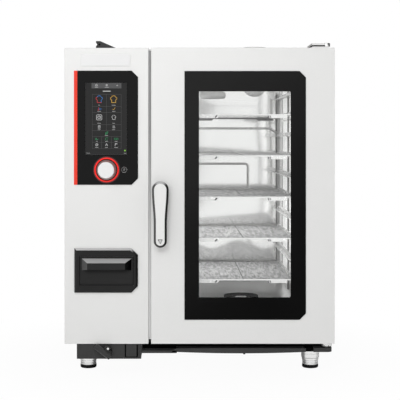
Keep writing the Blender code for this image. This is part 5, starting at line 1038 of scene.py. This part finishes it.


# side racks: angle rails on thin uprights and a broad rear post, with a hook at every rail and a slot beside
# it painted black as shade; the rear post, middle rods and clips are steel darkened as painted shade
rackLook = {"levels": 10, "firstTop": 0.3067, "pitch": 0.070, "sheet": 0.0022, "rise": 0.012, "reach": 0.011,
            "play": 0.006, "post": (0.0006, 0.0228), "postSheet": 0.0025, "rod": 0.0040, "clip": 0.0046,
            "rods": (-0.1957, -0.055, 0.2243), "hangers": (0.348, 0.855), "hook": (0.0008, 0.0052),
            "slot": (0.0062, 0.0100)}
shelfX = spanOf("tray_1")[0]
sheet, rod, clip = rackLook["sheet"], rackLook["rod"], rackLook["clip"]
clipY = grown((rackLook["rods"][1],) * 2, clip)
for node, side in (("rack_left", -1), ("rack_right", 1)):
    rackX, rackY, rackZ = spanOf(node)
    edge, wallX = shelfX[max(side, 0)], rackX[max(side, 0)]
    leaf = edge + side * rackLook["play"]
    inside, out, rodX = edge - side * rackLook["reach"], leaf + side * sheet, leaf + side * (sheet + 0.0020)
    postY = (rackY[1] - rackLook["postSheet"], rackY[1])
    hookX, slotX, postX = [sorted(edge + side * part for part in rackLook[key])
                           for key in ("hook", "slot", "post")]
    shapes = []
    for level in range(rackLook["levels"]):
        top = rackLook["firstTop"] + level * rackLook["pitch"]
        low, high = top - sheet, top + rackLook["rise"]
        rail = [(inside, low), (out, low), (out, high), (leaf, high), (leaf, top), (inside, top)]
        shapes += [
            prism(rail, "y", (rackY[0], postY[0] - 0.0002)),
            block(hookX, (postY[0] - 0.0014, postY[0]), (low - 0.001, top + 0.008)),
            block(slotX, (postY[0] - 0.0006, postY[0]), (low - 0.002, top + 0.009), 2),
            block(grown((rodX, rodX), clip), clipY, (low - 0.004, top + 0.004), 1)]
    shapes.append(block(postX, postY, rackZ, 1))
    rodSteps = profile(rackZ[0], rod, (0, -0.001), (0.001, 0))
    rodSteps += profile(rackZ[1], rod, (-0.001, 0), (0, -0.001))
    for y, mat in zip(rackLook["rods"], (0, 1, 0)):
        shapes.append(turned(rodSteps, (rodX, y), sides=16, mat=mat))
        shapes += [tube([(rodX, y, z), (wallX, y, z)], rod * 0.9, 12) for z in rackLook["hangers"]]
    makePiece(node + "_fine", "case", "rackSteel postSteel shadowBlack", shapes, node)


# fittings under the ceiling: a round-edged rinse dish on a neck, its spray holes painted black as shade, and
# the domed mouth of the steam vent
dishLook = {"neck": 0.0220, "holes": 6, "holeCircle": 0.022, "hole": 0.0034}
dishX, dishY, dishZ = spanOf("wash_nozzle")
low, middle, neck = dishZ[0], (middleOf(dishX), middleOf(dishY)), dishLook["neck"]
dish = [(low + 0.0004, 0.0040), (low, 0.0060)]
dish += profile(low, (dishX[1] - dishX[0]) / 2, (0, -0.0120), (0.0010, -0.0070), (0.0036, -0.0030),
                (0.0080, -0.0006), (0.0130, 0), (0.0190, -0.0010), (0.0240, -0.0050), (0.0270, -0.0130))
dish += [(low + 0.0290, neck), (dishZ[1], neck)]
holeSteps = profile(low, dishLook["hole"], (-0.0001, -0.0016), (-0.0001, 0), (0.0008, 0))
sprayHoles = [turned(holeSteps, spot, sides=16, mat=1)
              for spot in loop(middle, dishLook["holeCircle"], dishLook["holes"])]
makePiece("rinse_dish", "case", "fittingSteel shadowBlack", [turned(dish, middle, sides=56), *sprayHoles],
          "wash_nozzle")
ventX, ventY, ventZ = spanOf("steam_vent_pipe")
radius = (ventX[1] - ventX[0]) / 2
vent = [(ventZ[0] + 0.96 * (radius - up), out) for up, out in arc((0, 0), radius, 6, 90, 14)]
vent += profile(ventZ[1], radius, (-0.001, 0), (0, -0.001), (0, -0.003), (-0.020, -0.003))
makePiece("vent_mouth", "case", "rackSteel", [turned(vent, (middleOf(ventX), middleOf(ventY)), sides=56)],
          "steam_vent_pipe", sharp=50.0)


# drain cover: black ring round a dark dish, with a bright slotted plate in it and a spigot below
drainLook = {"radius": 0.0605, "rise": 0.0020, "depth": 0.0066, "dish": 0.046, "spigot": 0.0174,
             "plate": 0.020, "plateDrop": 0.0082, "ribs": 10, "rib": 0.0030, "boss": 0.010}
drainX, drainY, drainZ = spanOf("drain_strainer")
middle = (middleOf(drainX), middleOf(drainY))
floorTop, topZ = drainZ[1] - drainLook["depth"], drainZ[1] + drainLook["rise"]
spigot, radius, disc = [drainLook[key] for key in ("spigot", "radius", "plate")]
cover = profile(drainZ[0], spigot, (0, -0.0009), (0.001, 0)) + [(floorTop, spigot)]
cover += profile(floorTop, radius, (0, -0.0008), (0.0010, 0))
cover += profile(topZ, radius, (-0.0030, 0), (-0.0010, -0.0008), (0, -0.0026), (-0.0004, -0.0050),
                 (-0.0040, -0.0110))
cover += [(topZ - 0.0072, drainLook["dish"]), (topZ - 0.0080, 0.040), (topZ - 0.0080, 0.030)]
makePiece("drain_cover", "case", "shadowBlack", [turned(cover, middle, sides=56)], "drain_strainer",
          sharp=50.0)
plateZ = topZ - drainLook["plateDrop"]
discSteps = profile(
    plateZ, disc, (0, 0), (0.0016, 0), (0.0024, -0.0010), (0.0024, -0.0040), (0.0010, -0.0050))
ribEnds = zip(*[loop(middle, reach, drainLook["ribs"]) for reach in (0.009, disc - 0.004)])
boss = profile(plateZ, drainLook["boss"], (0.0006, 0), (0.0030, 0), (0.0036, -0.002), (0.0038, -0.006))
makePiece("drain_plate", "case", "railSteel", [
    turned(discSteps + [(plateZ + 0.0010, 0.006)], middle),
    *[stroke(list(ends), drainLook["rib"], "z", (plateZ + 0.0006, plateZ + 0.0028)) for ends in ribEnds],
    turned(boss, middle, sides=32)], "drain_strainer", 0.0003)


# thin bent pipes on the back wall, round and smooth
pipeLook = {"radius": 0.0042, "bend": 0.012, "flange": 0.011,  # and the end's corner, reach and drop
            "ends": {"steam_pipe": (0.206, 0.0, 0.125), "rinse_pipe": (0.292, 0.034, 0.022)}}


def bentPath(corners, radius, steps=10):
    corners = [Vector(corner) for corner in corners]
    path = [corners[0]]
    for before, corner, after in zip(corners, corners[1:], corners[2:]):
        into = (corner - before).normalized()
        onward = (after - corner).normalized()
        half = into.angle(onward) / 2
        middle = corner + (onward - into).normalized() * (radius / math.cos(half))
        arm = corner - into * (radius * math.tan(half)) - middle
        for step in range(steps + 1):
            angle = 2 * half * step / steps
            path.append(middle + arm * math.cos(angle) + into * (radius * math.sin(angle)))
    path.append(corners[-1])
    return path


for node, (cornerX, reach, drop) in pipeLook["ends"].items():
    pipeX, pipeY, pipeZ = spanOf(node)
    radius, flange = pipeLook["radius"], pipeLook["flange"]
    startX, runY, runZ = pipeX[0] + flange, pipeY[0] + radius, pipeZ[1] - flange
    turns = [(startX, pipeY[1], runZ), (startX, runY, runZ), (cornerX, runY, runZ),
             (cornerX + reach, runY, runZ - drop)]
    flangeSteps = profile(pipeY[1], flange, (-0.0042, -0.001), (-0.0032, 0), (0, 0))
    makePiece(node + "_fine", "case", "brightSteel", [
        tube(bentPath(turns, pipeLook["bend"]), radius, 16),
        turned(flangeSteps, (startX, runZ), "y", 32)], node)
print("chamber fittings made")


# narrow lip beside the trim strip with a short foot below it, and a black block painted as the shade that
# closes the gap below
trimX, trimY, trimZ = spanOf("gap_trim")
trimLook = {"edge": -0.1583, "foot": 0.1262, "low": trimZ[0] - 0.0160, "lipY": (0.0015, 0.006),
            "round": 0.0004, "capRound": 0.0008, "play": 0.0002}
edge, foot, play = trimLook["edge"], trimLook["foot"], trimLook["play"]
lipY = [trimY[0] + depth for depth in trimLook["lipY"]]
makePiece("trim_lip", "case", "trimGrey", [
    prism(rounded((trimX[1] + 0.0001, edge), (foot, trimZ[1]), trimLook["round"]), "y", lipY),
    prism(rounded((trimX[0] + play, trimX[1] + play), (foot, trimZ[0] - play), trimLook["round"]),
          "y", lipY)])
gapShade = rounded((trimX[0] + play, edge), (trimLook["low"], foot - play), trimLook["capRound"])
makePiece("trim_end_cap", "case", "blackPlastic", [prism(gapShade, "y", (trimY[0] + 0.003, trimY[1]))])


# cowl on the top: a wedge with a notch at its left and a pin beside it
cowlX, cowlY, cowlZ = spanOf("vent_cowl")
cowlLook = {"left": 0.0034, "drop": 0.0047, "lip": 0.0150, "brow": (0.0660, 0.0200), "tip": (0.1020, 0.0070),
            "notch": 0.0048, "notchZ": (0.0236, 0.0302, 0.0366), "pinX": 0.0125, "pin": 0.0034}
edgeX, edgeZ = cowlX[0] + cowlLook["left"], cowlZ[0]
high = cowlZ[1] - cowlLook["drop"] - edgeZ
notchLow, notchMid, notchHigh = cowlLook["notchZ"]
wedge = profile(
    edgeX, edgeZ, (0, 0), (cowlX[1] - edgeX, 0), cowlLook["tip"], cowlLook["brow"], (cowlLook["lip"], high),
    (0.001, high), (0, high - 0.002), (0, notchHigh), (cowlLook["notch"], notchMid), (0, notchLow))
cowlPin = profile(cowlY[0], cowlLook["pin"], (0, -0.0004), (0.0003, 0), (0.001, 0))
makePiece("vent_cowl_fine", "case", "cowlGrey shadowBlack", [
    prism(wedge, "y", (cowlY[0] + 0.0004, cowlY[1])),
    turned(cowlPin, (edgeX + cowlLook["pinX"], edgeZ + notchMid), "y", 20, 1)], "vent_cowl", bevel=0.0008)


# tray seams down the middle, and the slits at the ends of the front notches painted black as the shade in
# them
trayMarks = {"centre": 0.153, "seam": 0.0014, "slitZ": (-0.0112, -0.0056), "rearX": (0.055, 0.255),
             "rearZ": (-0.0076, -0.0024),
             "slits": ((0.0600, 0.0055, 0.0040), (0.2380, -0.0025, 0.0030), (0.2442, -0.0025, 0.0030))}
seamX = grown((trayMarks["centre"],) * 2, trayMarks["seam"] / 2)
shapes = []
for node in trayNodes:
    trayY, trayZ = spanOf(node)[1:]
    shapes.append(block(seamX, grown(trayY, -0.002), (trayZ[1] - 0.0004, trayZ[1] + 0.00012)))
    for spot, slant, width in trayMarks["slits"]:
        ends = [(spot + slant * share, trayZ[1] + drop)
                for share, drop in zip((-0.5, 0.5), trayMarks["slitZ"])]
        shapes.append(stroke(ends, width, "y", (trayY[0] - 0.0002, trayY[0] + 0.0006)))
    rearZ = [trayZ[1] + drop for drop in trayMarks["rearZ"]]  # a strip painted dark as shade closes the gap in the rear lip
    shapes.append(block(trayMarks["rearX"], (trayY[1] - 0.0016, trayY[1] - 0.0004), rearZ, 1))
makePiece("tray_marks", "case", "shadowBlack shadedSteel", shapes)


# flap in a groove on the shower housing, the groove painted black as shade
flapLook = {"x": (-0.2405, -0.2060), "z": (0.0690, 0.1105), "round": 0.0015, "proud": 0.0016,
            "grooveX": 0.0042, "grooveZ": 0.002, "edge": 0.0006}
housingFront = spanOf("shower_housing")[1][0]
flap = rounded(flapLook["x"], flapLook["z"], flapLook["round"])
makePiece("housing_flap", "case", "greyPlastic", [
    prism(flap, "y", (housingFront - flapLook["proud"], housingFront - 0.0001))], None,
    flapLook["edge"])
groove = rounded(grown(flapLook["x"], flapLook["grooveX"]), grown(flapLook["z"], flapLook["grooveZ"]), 0.002)
makePiece("flap_groove", "case", "shadowBlack", [
    prism(groove, "y", (housingFront - 0.0005, housingFront + 0.0004))])


# drip tray: low gutter, bowed basin under the door and a round arm at the right, hung on a back wall that,
# with the trough floors, is painted black as the shade under the door
dripX, dripY, dripZ = spanOf("drip_tray")
dripLook = {"back": -0.335, "wall": 0.0024, "front": -0.375, "gutter": (dripX[0], -0.0735),
            "gutterZ": (0.0825, 0.0912), "basin": (-0.0755, 0.3505), "basinFront": -0.373, "bow": 0.0236,
            "basinZ": (0.0858, 0.0978), "crown": 0.0050, "arm": (0.3756, dripX[1]), "armZ": (0.0858, 0.0997),
            "bridgeZ": (0.0862, 0.0985), "rim": 0.4095, "spout": (0.147, -0.386), "spoutRadius": 0.0042}
dripFront, dripBack, wall = dripLook["front"], dripLook["back"], dripLook["wall"]
basinLeft, basinRight = dripLook["basin"]
basinLow, basinHigh = dripLook["basinZ"]
gutterLow, gutterHigh = dripLook["gutterZ"]


def basinOutline(inset):
    left, right = basinLeft + inset, basinRight - inset
    points = [(right, dripBack - inset), (left, dripBack - inset)]
    for step in range(33):
        share = step / 32
        bow = dripLook["bow"] * (1 - (2 * share - 1) ** 2)
        points.append((left + (right - left) * share, dripLook["basinFront"] + inset - bow))
    return points


def gutterOutline(inset):
    depth = grown((dripFront, dripBack), -inset)
    return rounded(grown(dripLook["gutter"], -inset), depth, (0.003, 0, 0, 0.003), 4)


def armOutline(inset):
    depth = grown((dripFront, dripBack), -inset)
    return rounded(grown(dripLook["arm"], -inset), depth, (0, 0.017, 0.017, 0), 8)


def crownLip(bm):  # the basin's front lip rises towards its middle
    for vert in bm.verts:
        if abs(vert.co.z - basinHigh) < 1e-6 and vert.co.y < dripLook["basinFront"] + wall:
            share = (2 * vert.co.x - basinLeft - basinRight) / (basinRight - basinLeft)
            vert.co.z += dripLook["crown"] * (1 - share ** 2)


troughs = ((gutterOutline, dripLook["gutterZ"]), (basinOutline, dripLook["basinZ"]),
           (armOutline, dripLook["armZ"]))
shapes = []
for outline, (low, high) in troughs:
    shapes.append(prism(outline(0.0), "z", (low, low + 0.002)))
    shapes.append(plate([outline(0.0), outline(wall)], "z", (low + 0.001, high)))
ramp = [(basinLeft - 0.014, gutterLow + 0.001), (basinLeft + 0.006, gutterLow + 0.004),
        (basinLeft + 0.006, basinHigh), (basinLeft + 0.001, basinHigh), (basinLeft - 0.014, gutterHigh)]
shapes += [crownLip, prism(ramp, "y", (dripFront, dripFront + wall))]
makePiece("drip_tray_fine", "case", "greyPlastic", shapes, "drip_tray", bevel=0.0006)
# painted shade: the back wall, its flange, the bridge and the trough floors are black as the shade under the
# door
backX = (dripX[0], dripLook["rim"])
bridgeX = (basinRight - 0.002, dripLook["arm"][0] + 0.002)
makePiece("drip_tray_inside", "case", "shadowBlack", [
    block(backX, (dripBack - 0.0020, dripBack), (gutterLow + 0.0012, dripZ[1])),
    block(backX, (dripBack - 0.0020, dripY[1]), (dripZ[1] - 0.002, dripZ[1])),
    block(bridgeX, (dripFront + 0.008, dripBack), dripLook["bridgeZ"]),
    *[prism(outline(wall), "z", (low + 0.0018, low + 0.0024)) for outline, (low, _) in troughs]], "drip_tray")
spout = profile(basinLow, dripLook["spoutRadius"], (-0.0046, -0.0016), (-0.0040, -0.0006), (0.0006, 0))
makePiece("drip_spout", "case", "greyPlastic", [turned(spout, dripLook["spout"], sides=24)])


# pan head screws on the rear sheet
screwLook = {"radius": 0.0048, "height": 0.0022, "slot": 0.0011, "insetX": (0.016, 0.30), "insetZ": 0.018,
             "between": (0.255, 0.49, 0.725)}


def screw(x, y, z):
    radius, height = screwLook["radius"], screwLook["height"]
    half = radius * 0.5
    head = [(y - 0.0004, radius), (y + height * 0.35, radius), (y + height * 0.75, radius * 0.86),
            (y + height, radius * 0.62)]
    slotY = (y + height * 0.9, y + height + 0.0002)
    return [turned(head, (x, z), "y", 24),
            stroke([(x, z - half), (x, z + half)], screwLook["slot"], "y", slotY, 1),
            stroke([(x - half, z), (x + half, z)], screwLook["slot"], "y", slotY, 1)]


rearX, rearY, rearZ = spanOf("rear_panel")
lowRow, highRow = grown(rearZ, -screwLook["insetZ"])
outerX, innerX = [grown(rearX, -inset) for inset in screwLook["insetX"]]
heights = (lowRow, *[rearZ[0] + rise for rise in screwLook["between"]], highRow)
spots = [(x, z) for z in heights for x in outerX] + [(x, z) for x in innerX for z in (lowRow, highRow)]
makePiece("rear_screws", "case", "brightSteel blackPlastic",
          [shape for x, z in spots for shape in screw(x, rearY[1], z)])
print("small fittings made")

scene.view_settings.view_transform = "Standard"
print("pieces ready")
